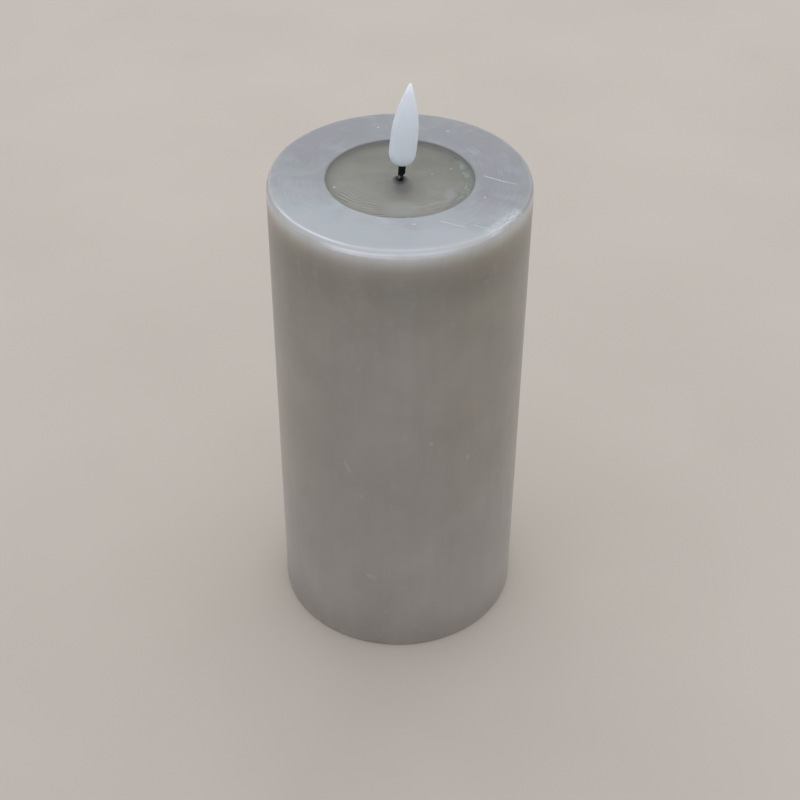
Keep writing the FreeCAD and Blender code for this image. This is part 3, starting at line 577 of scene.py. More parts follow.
def rounded_bar(name, half_x, half_y, top, bottom, x, y):
    """A low bar with rounded ends that hangs from top down to bottom."""
    radius = min(half_x, half_y)
    outline = []
    long_x = half_x - radius
    long_y = half_y - radius
    for centre_x, centre_y, first in ((1, 1, 0), (-1, 1, 90), (-1, -1, 180), (1, -1, 270)):
        centre = (x + long_x * centre_x, y + long_y * centre_y)
        outline += arc(centre, radius, first, first + 90, 6) + arc(centre, radius, first + 90, first + 180, 1)
    edge = radius * 0.3
    levels = [(1, top), (1, bottom + edge), (0.7, bottom)]
    verts = []
    for share, level in levels:
        for px, py in outline:
            inward = Vector((x - px, y - py, 0))
            inward = inward.normalized() * radius * (1 - share)
            verts.append(Vector((px + inward.x, py + inward.y, level)) * MM)
    count = len(outline)
    faces = [tuple(range(count))]
    for row in range(len(levels) - 1):
        for step in range(count):
            after = (step + 1) % count
            faces.append((row * count + step, row * count + after,
                          (row + 1) * count + after, (row + 1) * count + step))
    faces.append(tuple(range((len(levels) - 1) * count, len(levels) * count)))
    return finished(name, mesh_of(name, verts, faces), 40)


def joined(name, pieces):
    """One piece made of the given ones."""
    whole = bmesh.new()
    for piece in pieces:
        whole.from_mesh(piece.data)
        bpy.data.objects.remove(piece)
    mesh = bpy.data.meshes.new(name)
    whole.to_mesh(mesh)
    whole.free()
    return placed(name, mesh)


def door_grip():
    """Five moulded ribs across the door by the nail recess, where a thumb pushes it."""
    bottom = DOOR_LOW.z
    ribs = [rounded_bar("rib", *RIB_HALF, bottom + 0.1, bottom - RIB_HEIGHT, 0, y) for y in RIB_PLACES]
    return joined("door_grip", ribs)


def raised_word(word, x, y):
    """A moulded word, 0.25 mm proud of the plate, to be read from below."""
    curve = bpy.data.curves.new("word", "FONT")
    curve.body = word
    curve.align_x = "CENTER"
    curve.align_y = "CENTER"
    curve.size = WORD_SIZE * MM
    curve.extrude = WORD_HALF_DEPTH * MM
    curve.bevel_depth = WORD_BEVEL * MM
    text = placed("word", curve)
    mesh = bpy.data.meshes.new_from_object(text)
    bpy.data.objects.remove(text)
    middle = Vector((x, y, HOUSING_LOW.z - WORD_DROP))
    mesh.transform(Matrix.Translation(middle * MM) @ Matrix.Rotation(math.pi, 4, "X"))
    return placed("word", mesh)


def switch_words():
    """The three positions of the switch, with a tick for each."""
    row = (KNOB_LOW.y + KNOB_HIGH.y) / 2 - WORD_DISTANCE
    pieces = [raised_word(word, x, row) for word, x in WORDS]
    tick_ends = [HOUSING_LOW.z + end for end in TICK_ENDS]
    pieces += [rounded_bar("tick", *TICK_HALF, *tick_ends, x, row + TICK_DISTANCE) for x in TICK_PLACES]
    return joined("switch_words", pieces)


# Materials

def linear(code):
    """An sRGB hex colour as linear red, green, blue and alpha."""
    values = [int(code[place:place + 2], 16) / 255 for place in (1, 3, 5)]
    return [v / 12.92 if v <= 0.04045 else ((v + 0.055) / 1.055) ** 2.4 for v in values] + [1]


def scale_for(size):
    """The scale of a pattern in object coordinates whose marks are size millimetres wide."""
    return 1 / (size * MM)


def fill(sockets, values):
    """Gives each socket its value, a hex code for a colour, or a link from another node's output."""
    for socket, value in zip(sockets, values):
        if isinstance(value, bpy.types.NodeSocket):
            socket.id_data.links.new(value, socket)
        else:
            socket.default_value = linear(value) if isinstance(value, str) else value


def fill_named(node, inputs):
    fill([node.inputs[name.replace("_", " ")] for name in inputs], inputs.values())


def add_node(tree, kind, *values, stops=(), out=None, **named):
    """Adds a node and returns its output. The values fill its inputs in order, those with a name the input
    of that name. A name in small letters is a setting, and stops are a ramp's (place, value) pairs. Every
    mix is one of colours."""
    node = tree.nodes.new("ShaderNode" + kind)
    if kind == "Mix":
        node.data_type = "RGBA"
    for name in [name for name in named if name.islower()]:
        setattr(node, name, named.pop(name))
    fill([socket for socket in node.inputs if socket.enabled], values)
    fill_named(node, named)
    for index, (place, value) in enumerate(stops):
        elements = node.color_ramp.elements
        element = elements[index] if index < 2 else elements.new(place)
        element.position = place
        if isinstance(value, (int, float)):
            value = (value, value, value, 1)
        element.color = linear(value) if isinstance(value, str) else value
    return node.outputs[out] if out else next(socket for socket in node.outputs if socket.enabled)


def new_material(name, **constants):
    """Starts a material: the function that adds a node to it, the one that finishes it, and the place on
    the object in metres. The constants are set on the shader's own sockets."""
    material = bpy.data.materials.new(name)
    material.use_nodes = True
    shader = next(node for node in material.node_tree.nodes if node.type == "BSDF_PRINCIPLED")
    fill_named(shader, constants)
    add = partial(add_node, material.node_tree)

    def surfaced(colour, roughness, height=None, depth=0, **others):
        """The material with its colour and roughness, and bump whose full height stands for depth mm."""
        if height:
            others["Normal"] = add("Bump", 1.0, depth * MM, Height=height)
        fill_named(shader, {"Base_Color": colour, "Roughness": roughness, **others})
        return material
    return add, surfaced, add("TexCoord", out="Object")


def up_to(strength):
    """Stops of a ramp from nothing up to a strength."""
    return [(0.0, 0.0), (1.0, strength)]


def sum_of(add, *terms):
    """The sum of (socket, weight) pairs."""
    total = 0.0
    for socket, weight in terms:
        total = add("Math", socket, weight, total, operation="MULTIPLY_ADD")
    return total


def combined(add, operation, mask, *others):
    """Several masks, multiplied or otherwise combined two by two."""
    for other in others:
        mask = add("Math", mask, other, operation=operation)
    return mask


def window(add, *edges):
    """1 where each value is past its own edge, a smooth rise from low to high, and 0 elsewhere."""
    masks = [add("MapRange", value, low, high, interpolation_type="SMOOTHSTEP") for value, low, high in edges]
    return combined(add, "MULTIPLY", *masks)


def polar_place(add, place, across, along_degrees):
    """Coordinates for marks that follow circles about Z, across mm wide and along_degrees long."""
    parts = add("SeparateXYZ", place).node.outputs
    angle = add("Math", parts["Y"], parts["X"], operation="ARCTAN2")
    radius = add("VectorMath", add("CombineXYZ", parts["X"], parts["Y"]), operation="LENGTH")
    u = add("Math", radius, scale_for(across), operation="MULTIPLY")
    v = add("Math", angle, 1 / math.radians(along_degrees), operation="MULTIPLY")
    return add("CombineXYZ", u, v), radius


def spot(add, place, centre, size, stretch=(1, 1, 1)):
    """A soft spot of size mm about a centre given in mm."""
    away = add("VectorMath", place, Vector(centre) * MM, operation="SUBTRACT")
    far = add("VectorMath", add("VectorMath", away, stretch, operation="MULTIPLY"), operation="LENGTH")
    return window(add, (far, size * MM, size * MM * 0.4))


def scratch(add, place, start, end, width):
    """A thin mark along the line from start to end, both in mm, that tapers off to its ends."""
    start = Vector(start) * MM
    run = Vector(end) * MM - start
    away = add("VectorMath", place, start, operation="SUBTRACT")
    share = add("VectorMath", away, run / run.length_squared, operation="DOT_PRODUCT")
    foot = add("VectorMath", run, add("Clamp", share), operation="SCALE")
    off = add("VectorMath", away, foot, operation="DISTANCE")
    return window(add, (off, width * MM, width * MM * 0.2))


def along(add, place, way, low, high):
    """How far a place lies along a way, as a share from low to high millimetres."""
    return add("MapRange", add("VectorMath", place, Vector(way) / MM, operation="DOT_PRODUCT"), low, high)


def wax_marks(add, place, scratches, spots):
    """Where any of the marks lies."""
    marks = [scratch(add, place, *mark) for mark in scratches] + [spot(add, place, *mark) for mark in spots]
    return combined(add, "MAXIMUM", *marks)


def painted_rim_highlights(add, place, facing, height_share):
    """Painted highlights along the rim: a thin line at its upper edge, its face, a broken line at its lower
    edge, a band on its outer shoulder at the front left and a patch broken up like scratches at the right."""
    patches = add("TexNoise", polar_place(add, place, 3, 25)[0], 1.0)
    fine = add("TexNoise", polar_place(add, place, 0.3, 4)[0], 1.0, 3.0)

    def under(*depths):
        """The edges of a window by its depths in mm under the top."""
        return (height_share, *[1 - depth / WAX_TOP for depth in depths])

    def where(*masks):
        return combined(add, "MULTIPLY", *masks)
    kink = window(add, (facing, 0.55, 0.75), (facing, 0.998, 0.97), under(0.9, 0.5))
    left = where(kink, along(add, place, (-0.69, -0.72, 0), 33.2, 36), window(add, (patches, 0.3, 0.5)))
    front = where(kink, along(add, place, (0, -1, 0), 29, 37), window(add, (patches, 0.35, 0.6)))
    face = where(window(add, under(1.9, 1.4), (facing, 0.93, 0.75)), along(add, place, (0, -1, 0), 8, 36))
    lower = where(window(add, under(2.7, 2.1), under(0.9, 1.3)), along(add, place, (-0.05, -1, 0), 30, 36),
                  window(add, (patches, 0.35, 0.55)))
    # Painted highlight: a band on the outer shoulder at the front left
    brushed = where(window(add, under(2.7, 2.1), under(1.0, 1.5)),
                    along(add, place, (-0.28, -0.96, 0), 35.3, 37.2))
    # Painted highlight at the right, broken up like scratches
    scrape_highlight = where(scratch(add, place, *RIM_SCRAPE_HIGHLIGHT), window(add, (fine, 0.35, 0.65)))
    return sum_of(add, (left, 0.5), (front, 0.1), (face, 0.36), (lower, 0.24), (brushed, 0.42), (scrape_highlight, 0.4))


def cast_paraffin():
    """Dyed paraffin cast in a polished tube: satin, cloudy, lit a few millimetres deep, so that light from
    the top glows through the rim. The ring was wiped while soft, which leaves faint circling streaks."""
    add, surfaced, place = new_material(
        "cast_paraffin_dyed_grey", IOR=1.44, Subsurface_Weight=0.9, Subsurface_Scale=0.004,
        Subsurface_Radius=(1.0, 0.86, 0.72), Subsurface_Anisotropy=0.2)
    facing = add("SeparateXYZ", add("NewGeometry", out="Normal"), out="Z")
    height_share = add("Math", add("SeparateXYZ", place, out="Z"), 1 / (WAX_TOP * MM), operation="MULTIPLY")
    top = window(add, (height_share, 1 - RIM_DROP * 1.1 / WAX_TOP, 1 - RIM_DROP * 0.45 / WAX_TOP))

    # The side: cloudy, faintly smeared along its height, with painted shade that darkens it towards its left
    # and right edges
    clouds = add("ValToRGB", add("TexNoise", place, scale_for(24), 3.0, Distortion=0.4),
                 stops=[(0.32, "#F1F1F1"), (0.68, "#FFFFFF")])
    drawn = add("Mapping", place, Scale=(1, 1, 0.1))
    smears = add("ValToRGB", add("TexNoise", drawn, scale_for(3.2), 4.0, Distortion=0.3),
                 stops=[(0.35, "#FBFBFA"), (0.65, "#FFFFFF")])
    # Painted glow under the rim and a painted darker band below it, from the tones by height
    colour = add("Mix", 1.0, add("ValToRGB", height_share, stops=SIDE_TONES_AND_PAINTED_LIGHT), clouds, **MULTIPLIED)
    colour = add("Mix", 1.0, colour, smears, **MULTIPLIED)
    flecks = add("ValToRGB", add("TexNoise", place, scale_for(2.6)), stops=[(0.55, 0.0), (0.8, 0.35)])
    colour = add("Mix", flecks, colour, "#A7A199")
    # Painted shade: the side darker towards -X and +X over its middle height
    left, right = along(add, place, (-1, 0, 0), 14, 30), along(add, place, (1, 0, 0), 3, 20)
    flank_shade = combined(add, "MULTIPLY", combined(add, "MAXIMUM", left, right),
                      window(add, (height_share, 0.2, 0.55)))
    colour = add("Mix", flank_shade, colour, add("Mix", 1.0, colour, "#F6F5F0", **MULTIPLIED))

    # The ring: mottled and streaked, paler to the front as a painted sheen, with painted shade at the pool's
    # lip and painted highlights along the rim
    swept_place, radius = polar_place(add, place, 0.5, 14)
    streaks = add("TexNoise", swept_place, 1.0, 4.0)
    # Mottle and streaks, and a painted sheen that makes the ring paler towards the front
    bloom_and_painted_sheen = sum_of(add, (add("TexNoise", place, scale_for(9), 3.0, Distortion=0.8), 0.44),
                   (window(add, (streaks, 0.45, 0.75)), 0.08),
                   (along(add, place, (-0.25, -0.97, 0), 0, 33), 0.5))
    bloom_and_painted_sheen = add("ValToRGB", bloom_and_painted_sheen, stops=[(0.22, "#9C9A96"), (0.62, "#B7B8B3")])
    hues = add("ValToRGB", add("TexNoise", place, scale_for(10), 1.0),
               stops=[(0.38, "#FCFFFD"), (0.62, "#FFFDFF")])
    colour = add("Mix", top, colour, add("Mix", 1.0, bloom_and_painted_sheen, hues, **MULTIPLIED))
    # Painted shade: darker at the lip and wall of the pool's recess
    lip_shade = window(add, (radius, (POOL_WALL_RADIUS + 0.9) * MM, POOL_WALL_RADIUS * MM))
    colour = add("Mix", lip_shade, colour, "#7F7F78")
    # Painted highlights along the rim
    colour = add("Mix", painted_rim_highlights(add, place, facing, height_share), colour, "#EDEFF2")

    # Pale scratches and specks on the ring, and the painted glint at the pool's front lip
    nicks_and_glint = wax_marks(add, place, RING_SCRATCHES, RING_SPOTS)
    nicks_and_glint = add("ValToRGB", nicks_and_glint, stops=up_to(0.75))
    dents = wax_marks(add, place,
                      [(on_side(start), on_side(end), width) for start, end, width in SIDE_SCRATCHES],
                      [(on_side(centre), *form) for centre, *form in SIDE_SPOTS])
    colour = add("Mix", nicks_and_glint, colour, "#D2D5D4")
    colour = add("Mix", add("ValToRGB", dents, stops=up_to(0.45)), colour, "#B8B3AC")

    satin = sum_of(add, (streaks, 0.14), (add("TexNoise", place, scale_for(6), 3.0), 0.08), (top, -0.1))
    height = sum_of(add, (combined(add, "MULTIPLY", streaks, top), 0.5),
                    (add("TexNoise", place, scale_for(1.4), 3.0), 0.12),
                    (add("TexNoise", place, scale_for(5)), 0.5), (nicks_and_glint, 0.4), (dents, -0.3))
    return surfaced(colour, add("Math", satin, 0.22), height, 0.12)


def poured_paraffin():
    """The same wax poured later and left dull: olive grey and matt. Its colour holds painted light: shade
    along its edge, in its grooves and in the wick's hole, highlights on its ridges and lumps, and the wick's
    shadow.
    """
    add, surfaced, place = new_material(
        "poured_paraffin_dull", IOR=1.44, Subsurface_Weight=0.6, Subsurface_Scale=0.003,
        Subsurface_Radius=(1.0, 0.9, 0.75))
    swept_place, radius = polar_place(add, place, 0.9, 30)
    # Painted shade along the pool's edge
    edge = window(add, (radius, EDGE_SHADE_RADII[0] * MM, EDGE_SHADE_RADII[1] * MM))
    clouds = add("TexNoise", place, scale_for(8), 4.0, Distortion=0.6)
    shade = sum_of(add, (clouds, 0.7), (along(add, place, (-0.35, -0.94, 0), -20, 18), 0.7))
    body = add("ValToRGB", shade, stops=[(0.25, "#777464"), (1.0, "#969182")])

    # Where each layer lies, how strong it is and its colour, the lowest first
    marks = add("SeparateXYZ", add("Attribute", attribute_name="marks", out="Vector")).node.outputs
    grooves = add("Math", marks["X"], -0.5, operation="MULTIPLY")
    # Painted shadow in front of the wick
    wick_shadow = sum_of(add, (spot(add, place, *WICK_SHADOW_HALO), 0.16), (spot(add, place, *WICK_SHADOW_CORE), 0.26))
    layers = [
        # Painted shade along the edge
        (edge, None, "#807B6D"),
        (spot(add, place, *TONGUE), up_to(0.4), "#A2A69C"),
        # Painted highlights on the ridges' crests
        (marks["X"], [(0.05, 0.0), (0.6, 0.3)], "#BCBBB0"),
        # Painted shade in the grooves
        (grooves, [(0.02, 0.0), (0.5, 0.5)], "#65645B"),
        (scratch(add, place, *POOL_STREAK), up_to(0.2), "#BEBBB2"),
        (spot(add, place, *GREY_PATCH), up_to(0.3), "#A9A6A6"),
        (marks["Z"], [(0.0, 0.0), (0.6, 0.6)], "#797D6F"),
        (marks["Z"], [(0.02, 0.0), (0.25, 0.26), (0.6, 0.0)], "#5F6055"),
        # Painted highlights on the tops of the foam's lumps
        (marks["Y"], [(0.3, 0.0), (1.0, 0.5)], "#AAADA1"),
        # Painted shadow in front of the wick
        (wick_shadow, None, "#4E4D4A"),
        # Painted shade in the mouth of the wick's hole
        (spot(add, place, *HOLE_MOUTH_SHADE), None, "#373633"),
        (wax_marks(add, place, [], POOL_SPOTS), None, "#C9C8C2")]
    colour = body
    for where, stops, paint in layers:
        share = add("ValToRGB", where, stops=stops) if stops else where
        colour = add("Mix", share, colour, paint)

    dull = sum_of(add, (add("TexNoise", place, scale_for(3), 3.0), 0.2), (edge, -0.12))
    height = sum_of(add, (add("TexNoise", swept_place, 1.0, 3.0), 0.3),
                    (add("TexNoise", place, scale_for(1.1), 3.0), 0.25), (clouds, 0.4),
                    (add("TexNoise", place, scale_for(0.5)), 0.15))
    return surfaced(colour, add("Math", dull, 0.42), height, 0.16)


def frosted_polypropylene():
    """Injection-moulded polypropylene with a fine blasted finish: milky, soft, lit through."""
    add, surfaced, place = new_material(
        "frosted_polypropylene_moulded", IOR=1.49, Subsurface_Weight=0.7, Subsurface_Scale=0.003,
        Subsurface_Radius=(1.0, 1.0, 1.0), Sheen_Weight=0.52, Sheen_Roughness=0.3,
        Sheen_Tint=(0.65, 0.82, 1.0, 1.0))
    rise = add("MapRange", add("SeparateXYZ", place, out="Z"), FLAME_LOW.z * MM, FLAME_HIGH.z * MM)
    shade = sum_of(add, (rise, 0.8), (add("TexNoise", place, scale_for(5)), 0.25))
    lines = add("TexNoise", add("Mapping", place, Scale=(1, 1, 0.08)), scale_for(1.1))
    colour = add("ValToRGB", shade, stops=[(0.1, "#E6F5FF"), (0.9, "#F0F7FF")])
    colour = add("Mix", add("ValToRGB", lines, stops=[(0.4, 0.0), (0.7, 0.12)]), colour, "#CBD6E6")
    roughness = add("Math", lines, 0.12, 0.34, operation="MULTIPLY_ADD")
    height = sum_of(add, (add("TexNoise", place, scale_for(0.25)), 0.35), (lines, 0.65))
    return surfaced(colour, roughness, height, 0.03)


def shrunk_polyolefin():
    """Black heat-shrink tube: matt, with the slight rings that it takes as it shrinks."""
    add, surfaced, place = new_material(
        "shrunk_polyolefin_black", IOR=1.5, Specular_IOR_Level=0.06)
    rings = add("TexNoise", add("Mapping", place, Scale=(0.4, 0.4, 1.6)), scale_for(0.5))
    return surfaced(add("ValToRGB", rings, stops=[(0.3, "#151416"), (0.75, "#212023")]),
                    add("ValToRGB", rings, stops=[(0.3, 0.42), (0.7, 0.6)]), rings, 0.05)


def moulded_plastic(name, dark, pale, roughness, grain, depth):
    """An injection-moulded part: even colour with faint flow clouds, and the mould's spark-eroded grain,
    which is grain mm wide."""
    add, surfaced, place = new_material(name, IOR=1.53)
    flow = add("TexNoise", place, scale_for(14), 3.0, Distortion=0.6)
    pits = add("TexNoise", place, scale_for(grain), 3.0)
    gloss = add("ValToRGB", pits, stops=[(0.3, roughness - 0.06), (0.7, roughness + 0.08)])
    return surfaced(add("ValToRGB", flow, stops=[(0.3, dark), (0.7, pale)]), gloss, pits, depth)


def drawn_metal(name, dark, pale, roughness, size, stretch, depth=0.01, overpaint=None):
    """A plated or drawn metal, with fine lines size mm apart along the way it was worked. The last argument,
    if given, is a function of the place and the metal's own colour that paints marks over it, painted
    highlights too."""
    add, surfaced, place = new_material(name, Metallic=1.0)
    lines = add("TexNoise", add("Mapping", place, Scale=stretch), scale_for(size), 3.0)
    tone = sum_of(add, (lines, 0.5), (add("TexNoise", place, scale_for(6)), 0.5))
    colour = add("ValToRGB", tone, stops=[(0.3, dark), (0.7, pale)])
    if overpaint:
        colour = overpaint(add, place, colour)
    gloss = add("ValToRGB", lines, stops=[(0.3, roughness - 0.06), (0.7, roughness + 0.1)])
    return surfaced(colour, gloss, lines, depth)


def darkened_with_painted_glint(add, place, wire):
    """Darker where the wire leaves the pool, with one painted glint."""
    dark = add("Mix", spot(add, place, *LEG_DARKENING), wire, "#55534F")
    # Painted glint on the left leg
    return add("Mix", spot(add, place, *LEG_GLINT), dark, "#FFFFFF")


def cell_jacket(name, low, high, nub_up):
    """A shrunk printed film round a steel can: plain grey with a dark band at the nub end and bare,
    brushed ends. low and high are the can's ends in mm."""
    add, surfaced, place = new_material(name, IOR=1.5, Coat_Weight=0.4)
    z = add("SeparateXYZ", place, out="Z")
    facing = add("SeparateXYZ", add("NewGeometry", out="Normal"), out="Z")
    upright = add("Math", facing, operation="ABSOLUTE")

    def over(value, edge, operation="GREATER_THAN"):
        return add("Math", value, edge, operation=operation)
    band_low, band_high = (high - CELL_BAND, high) if nub_up else (low, low + CELL_BAND)
    band = combined(add, "MULTIPLY", over(z, band_low * MM), over(z, band_high * MM, "LESS_THAN"))
    steel = combined(add, "MAXIMUM", over(upright, 0.6), over(z, (high - 0.5) * MM),
                     over(z, (low + 0.5) * MM, "LESS_THAN"))
    film = add("TexNoise", place, scale_for(7))
    grey = add("ValToRGB", film, stops=[(0.3, "#6F7478"), (0.7, "#7B8084")])
    colour = add("Mix", steel, add("Mix", band, grey, "#26292D"), "#A9A8A4")
    gloss = add("ValToRGB", add("TexNoise", place, scale_for(1.2)), stops=[(0.3, 0.24), (0.7, 0.34)])
    return surfaced(colour, gloss, film, 0.04, Metallic=steel)


def printed_laminate():
    """Glass-epoxy board under green solder mask: tracks show as slightly raised, paler lines."""
    add, surfaced, place = new_material("glass_epoxy_solder_mask", IOR=1.55, Coat_Weight=0.3)
    tracks = add("TexVoronoi", place, scale_for(2.4), feature="DISTANCE_TO_EDGE")
    lines = add("ValToRGB", tracks, stops=[(0.06, 1.0), (0.1, 0.0)])
    green = add("ValToRGB", add("TexNoise", place, scale_for(5)), stops=[(0.3, "#1E5B34"), (0.7, "#25683D")])
    gloss = add("ValToRGB", add("TexNoise", place, scale_for(0.8)), stops=[(0.3, 0.3), (0.7, 0.42)])
    return surfaced(add("Mix", lines, green, "#3C8A55"), gloss, lines, 0.05)


def hot_melt():
    """Hot-melt glue beads: cloudy, soft-edged and glossy."""
    add, surfaced, place = new_material(
        "hot_melt_glue_set", IOR=1.48, Subsurface_Weight=0.5, Subsurface_Scale=0.002)
    cloud = add("TexNoise", place, scale_for(2.5), 3.0, Distortion=0.5)
    return surfaced(add("ValToRGB", cloud, stops=[(0.3, "#C9C2AE"), (0.7, "#DAD5C4")]),
                    add("ValToRGB", cloud, stops=[(0.3, 0.16), (0.7, 0.3)]), cloud, 0.3)


def clear_epoxy():
    """The lamp's cast epoxy: warm, clear and glossy."""
    add, surfaced, place = new_material("cast_epoxy_lamp", IOR=1.54, Transmission_Weight=0.55)
    haze = add("TexNoise", place, scale_for(1.5))
    return surfaced(add("ValToRGB", haze, stops=[(0.3, "#EADFB4"), (0.7, "#F4EBC8")]),
                    add("ValToRGB", haze, stops=[(0.3, 0.06), (0.7, 0.14)]))


def fired_resistor(low, high):
    """Chip resistors: black glazed ceramic with tinned ends, which show at their two short sides."""
    add, surfaced, place = new_material("glazed_ceramic_chip", IOR=1.6)
    cloud = add("TexNoise", place, scale_for(0.6))
    pitch = (high.x - low.x - CHIP_LENGTH) / 2
    turn = add("Math", add("SeparateXYZ", place, out="X"), pitch / 2 * MM)
    turn = add("Math", turn, pitch * MM, operation="FLOORED_MODULO")
    off = add("Math", add("Math", turn, pitch / 2 * MM, operation="SUBTRACT"), operation="ABSOLUTE")
    cap = add("Math", off, CHIP_GLAZE_HALF * MM, operation="GREATER_THAN")
    glaze = add("ValToRGB", cloud, stops=[(0.3, "#15161A"), (0.7, "#22242A")])
    return surfaced(add("Mix", cap, glaze, "#B9B9B6"),
                    add("ValToRGB", cloud, stops=[(0.3, 0.25), (0.7, 0.4)]), cloud, 0.02, Metallic=cap)


def sleeved_capacitor(high):
    """A drawn aluminium can in a dark blue shrunk sleeve with a pale stripe, its top left bare."""
    add, surfaced, place = new_material("shrunk_sleeve_on_aluminium", IOR=1.5)
    facing = add("SeparateXYZ", add("NewGeometry", out="Normal"), out="Z")
    bare = add("Math", facing, 0.7, operation="GREATER_THAN")
    stripe = add("Math", add("SeparateXYZ", place, out="X"), (high.x - 0.35) * MM, operation="GREATER_THAN")
    film = add("ValToRGB", add("TexNoise", place, scale_for(2)), stops=[(0.3, "#141A33"), (0.7, "#1B2340")])
    colour = add("Mix", bare, add("Mix", stripe, film, "#B8BBC4"), "#B4B5B7")
    gloss = add("ValToRGB", add("TexNoise", place, scale_for(0.7)), stops=[(0.3, 0.25), (0.7, 0.38)])
    return surfaced(colour, gloss, Metallic=bare)


# Dressing the pieces

def dress(piece, material):
    piece.data.materials.clear()
    piece.data.materials.append(material)


def dress_nodes(*groups):
    """Gives CAD nodes a material in the slots that they came with. A group is a material and its nodes."""
    for material, *names in groups:
        for name in names:
            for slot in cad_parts[name].material_slots:
                slot.material = material


def place_piece(piece, material, body, slot, *nodes):
    dress(piece, material)
    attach(piece, body)
    for node in nodes:
        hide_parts(node)


def dress_lamp_and_wires():
    tinned = ("#A8A7A4", "#C9C8C5", 0.26, 0.3, (1, 1, 0.1))
    dress_nodes(
        (clear_epoxy(), "led_lamp"),
        (drawn_metal("tinned_copper_wire_darkened", *tinned, overpaint=darkened_with_painted_glint), "led_legs"),
        (drawn_metal("tinned_copper_pin", *tinned), "switch_pins"),
        (moulded_plastic("nylon_moulded_grey", "#6F6F70", "#7A7A7B", 0.45, 0.5, 0.02),
         "led_holder", "switch_base"),
        (shrunk_polyolefin(), "solder_sleeves"),
        (moulded_plastic("vinyl_insulation_red", "#A5201E", "#B52A26", 0.36, 0.4, 0.02),
         "led_wire_red", "battery_wire_red"),
        (moulded_plastic("vinyl_insulation_black", "#1A1A1B", "#232324", 0.36, 0.4, 0.02),
         "led_wire_black", "battery_wire_black"))


def dress_base():
    housing = moulded_plastic("abs_spark_eroded_stone", "#A39E95", "#ACA79E", 0.5, 0.35, 0.05)
    door = moulded_plastic("abs_spark_eroded_door", "#A09B92", "#A9A49B", 0.5, 0.35, 0.05)
    dress_nodes(
        (housing, "base_housing", "bay_cap"),
        (door, "battery_door"),
        (hot_melt(), "base_glue"),
        (moulded_plastic("acetal_moulded_black", "#1B1B1C", "#262627", 0.38, 0.4, 0.02), "switch_knob"),
        (drawn_metal("nickel_plated_strip", "#BBB5A9", "#C8C3B7", 0.26, 0.4, (1, 0.08, 1), 0.003),
         "door_contact", "contact_positive", "contact_negative"),
        (drawn_metal("nickel_plated_spring_wire", "#A9A498", "#C6C1B5", 0.2, 0.25, (1, 1, 1)),
         "door_spring", "negative_spring"),
        (drawn_metal("zinc_plated_screw", "#9FA0A0", "#BCBDBD", 0.3, 0.3, (1, 1, 0.3)),
         "cap_screws", "board_screws"))
    for node, nub_up in (("battery_cell_a", True), ("battery_cell_b", False)):
        low, high = corners_of(node)
        can_low, can_high = (low.z, high.z - CELL_NUB) if nub_up else (low.z + CELL_NUB, high.z)
        dress_nodes((cell_jacket("printed_film_on_steel_" + node[-1], can_low, can_high, nub_up), node))
    place_piece(door_grip(), door, "door", "door_plastic")
    place_piece(switch_words(), housing, "candle", "housing_plastic")


def dress_board():
    dress_nodes(
        (printed_laminate(), "circuit_board"),
        (moulded_plastic("epoxy_moulded_chip", "#1C1C1E", "#262628", 0.55, 0.2, 0.03), "timer_chip"),
        (drawn_metal("drawn_nickel_silver_can", "#B4B3AD", "#CBCAC5", 0.2, 0.3, (0.1, 1, 1)), "crystal"),
        (fired_resistor(*corners_of("chip_resistors")), "chip_resistors"),
        (sleeved_capacitor(corners_of("smoothing_capacitor")[1]), "smoothing_capacitor"),
        (drawn_metal("pressed_tinplate", "#A6A6A3", "#BFBFBC", 0.28, 0.4, (0.1, 1, 1)), "switch_frame"))


def dress_candle():
    place_piece(wax_shell(), cast_paraffin(), "candle", "wax", "wax_body")
    place_piece(pool_surface(), poured_paraffin(), "candle", "pool_wax", "wax_pool")
    place_piece(flame_shell(), frosted_polypropylene(), "candle", "frosted_plastic", "flame_bulb")
    place_piece(wick_shrink(), shrunk_polyolefin(), "candle", "black_sleeve", "wick_sleeve")


# Floor, light and camera

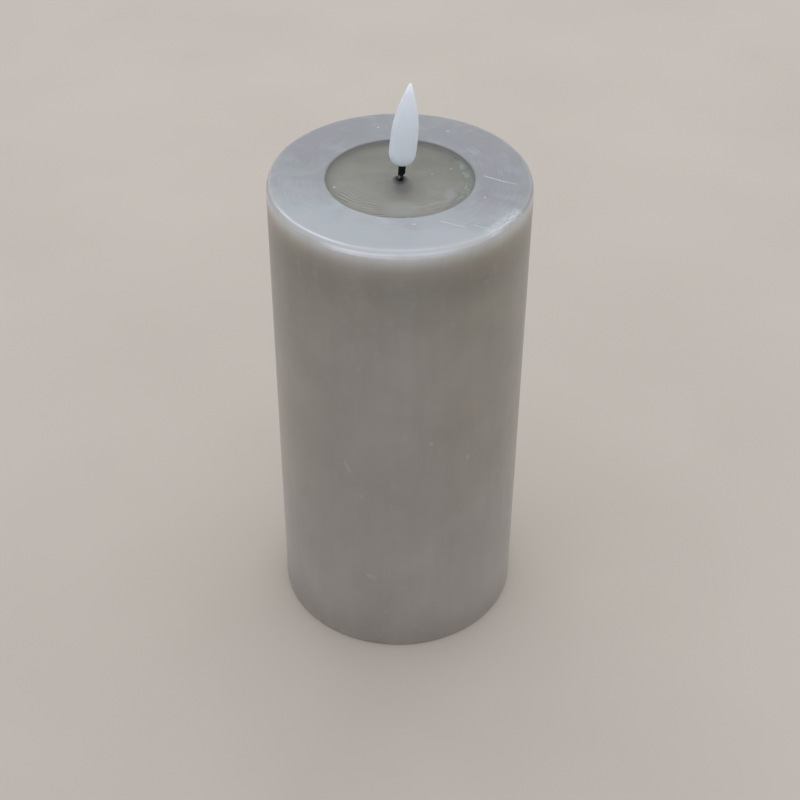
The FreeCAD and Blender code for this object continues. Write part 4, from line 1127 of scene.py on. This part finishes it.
def floor():
    """A plain pale sheet to stand on, with a faint uneven tone."""
    half = 3.0
    corners = [(-half, -half, 0), (half, -half, 0), (half, half, 0), (-half, half, 0)]
    sheet = placed("floor", mesh_of("floor", corners, [(0, 1, 2, 3)]))
    add, surfaced, place = new_material("pale_matt_board", IOR=1.45)
    tone = add("TexNoise", place, scale_for(90), 3.0)
    dress(sheet, surfaced(add("ValToRGB", tone, stops=[(0.35, "#C8BCAA"), (0.65, "#CCC0AE")]),
                          add("ValToRGB", tone, stops=[(0.3, 0.8), (0.7, 0.9)])))


def light():
    """A narrow softbox behind, for the rim to mirror, and an even pale surround, cooler overhead."""
    width, height, distance, elevation, radiance = 1.0, 0.12, 0.9, 51.5, 3.6
    target = Vector((0, 0, WAX_TOP * MM))
    place = target + Matrix.Rotation(math.radians(elevation), 3, "X") @ Vector((0, distance, 0))
    lamp = bpy.data.lights.new("softbox_narrow", "AREA")
    lamp.shape = "RECTANGLE"
    lamp.size = width
    lamp.size_y = height
    lamp.energy = radiance * math.pi * width * height
    lamp.color = (0.9, 0.97, 1.0)
    holder = placed("softbox_narrow", lamp)
    holder.location = place
    holder.rotation_euler = (target - place).to_track_quat("-Z", "Y").to_euler()

    world = bpy.data.worlds.new("surround")
    world.use_nodes = True
    add = partial(add_node, world.node_tree)
    up = add("SeparateXYZ", add("TexCoord", out="Generated"), out="Z")
    tint = add("ValToRGB", up, stops=[(0.0, (1.02, 0.99, 0.95, 1)), (1.0, (0.93, 1.0, 1.2, 1)),
                                      (0.3, (0.97, 1.0, 1.12, 1))])
    back = next(node for node in world.node_tree.nodes if node.type == "BACKGROUND")
    fill_named(back, {"Color": tint, "Strength": 0.86})
    bpy.context.scene.world = world
    bpy.context.scene.view_settings.view_transform = "Standard"


def camera():
    """The photograph's view: from the front and above, its lens worked out for a frame 800 pixels square."""
    view = bpy.data.cameras.new("camera")
    view.sensor_width = 36.0
    view.lens = view.sensor_width * FOCAL_PIXELS / FRAME_PIXELS
    view.clip_start = 0.02
    eye = placed("camera", view)
    eye.matrix_world = Matrix.Translation(CAMERA_PLACE) @ camera_turn().to_4x4()
    bpy.context.scene.camera = eye


dress_candle()
dress_lamp_and_wires()
dress_base()
dress_board()
floor()
light()
camera()
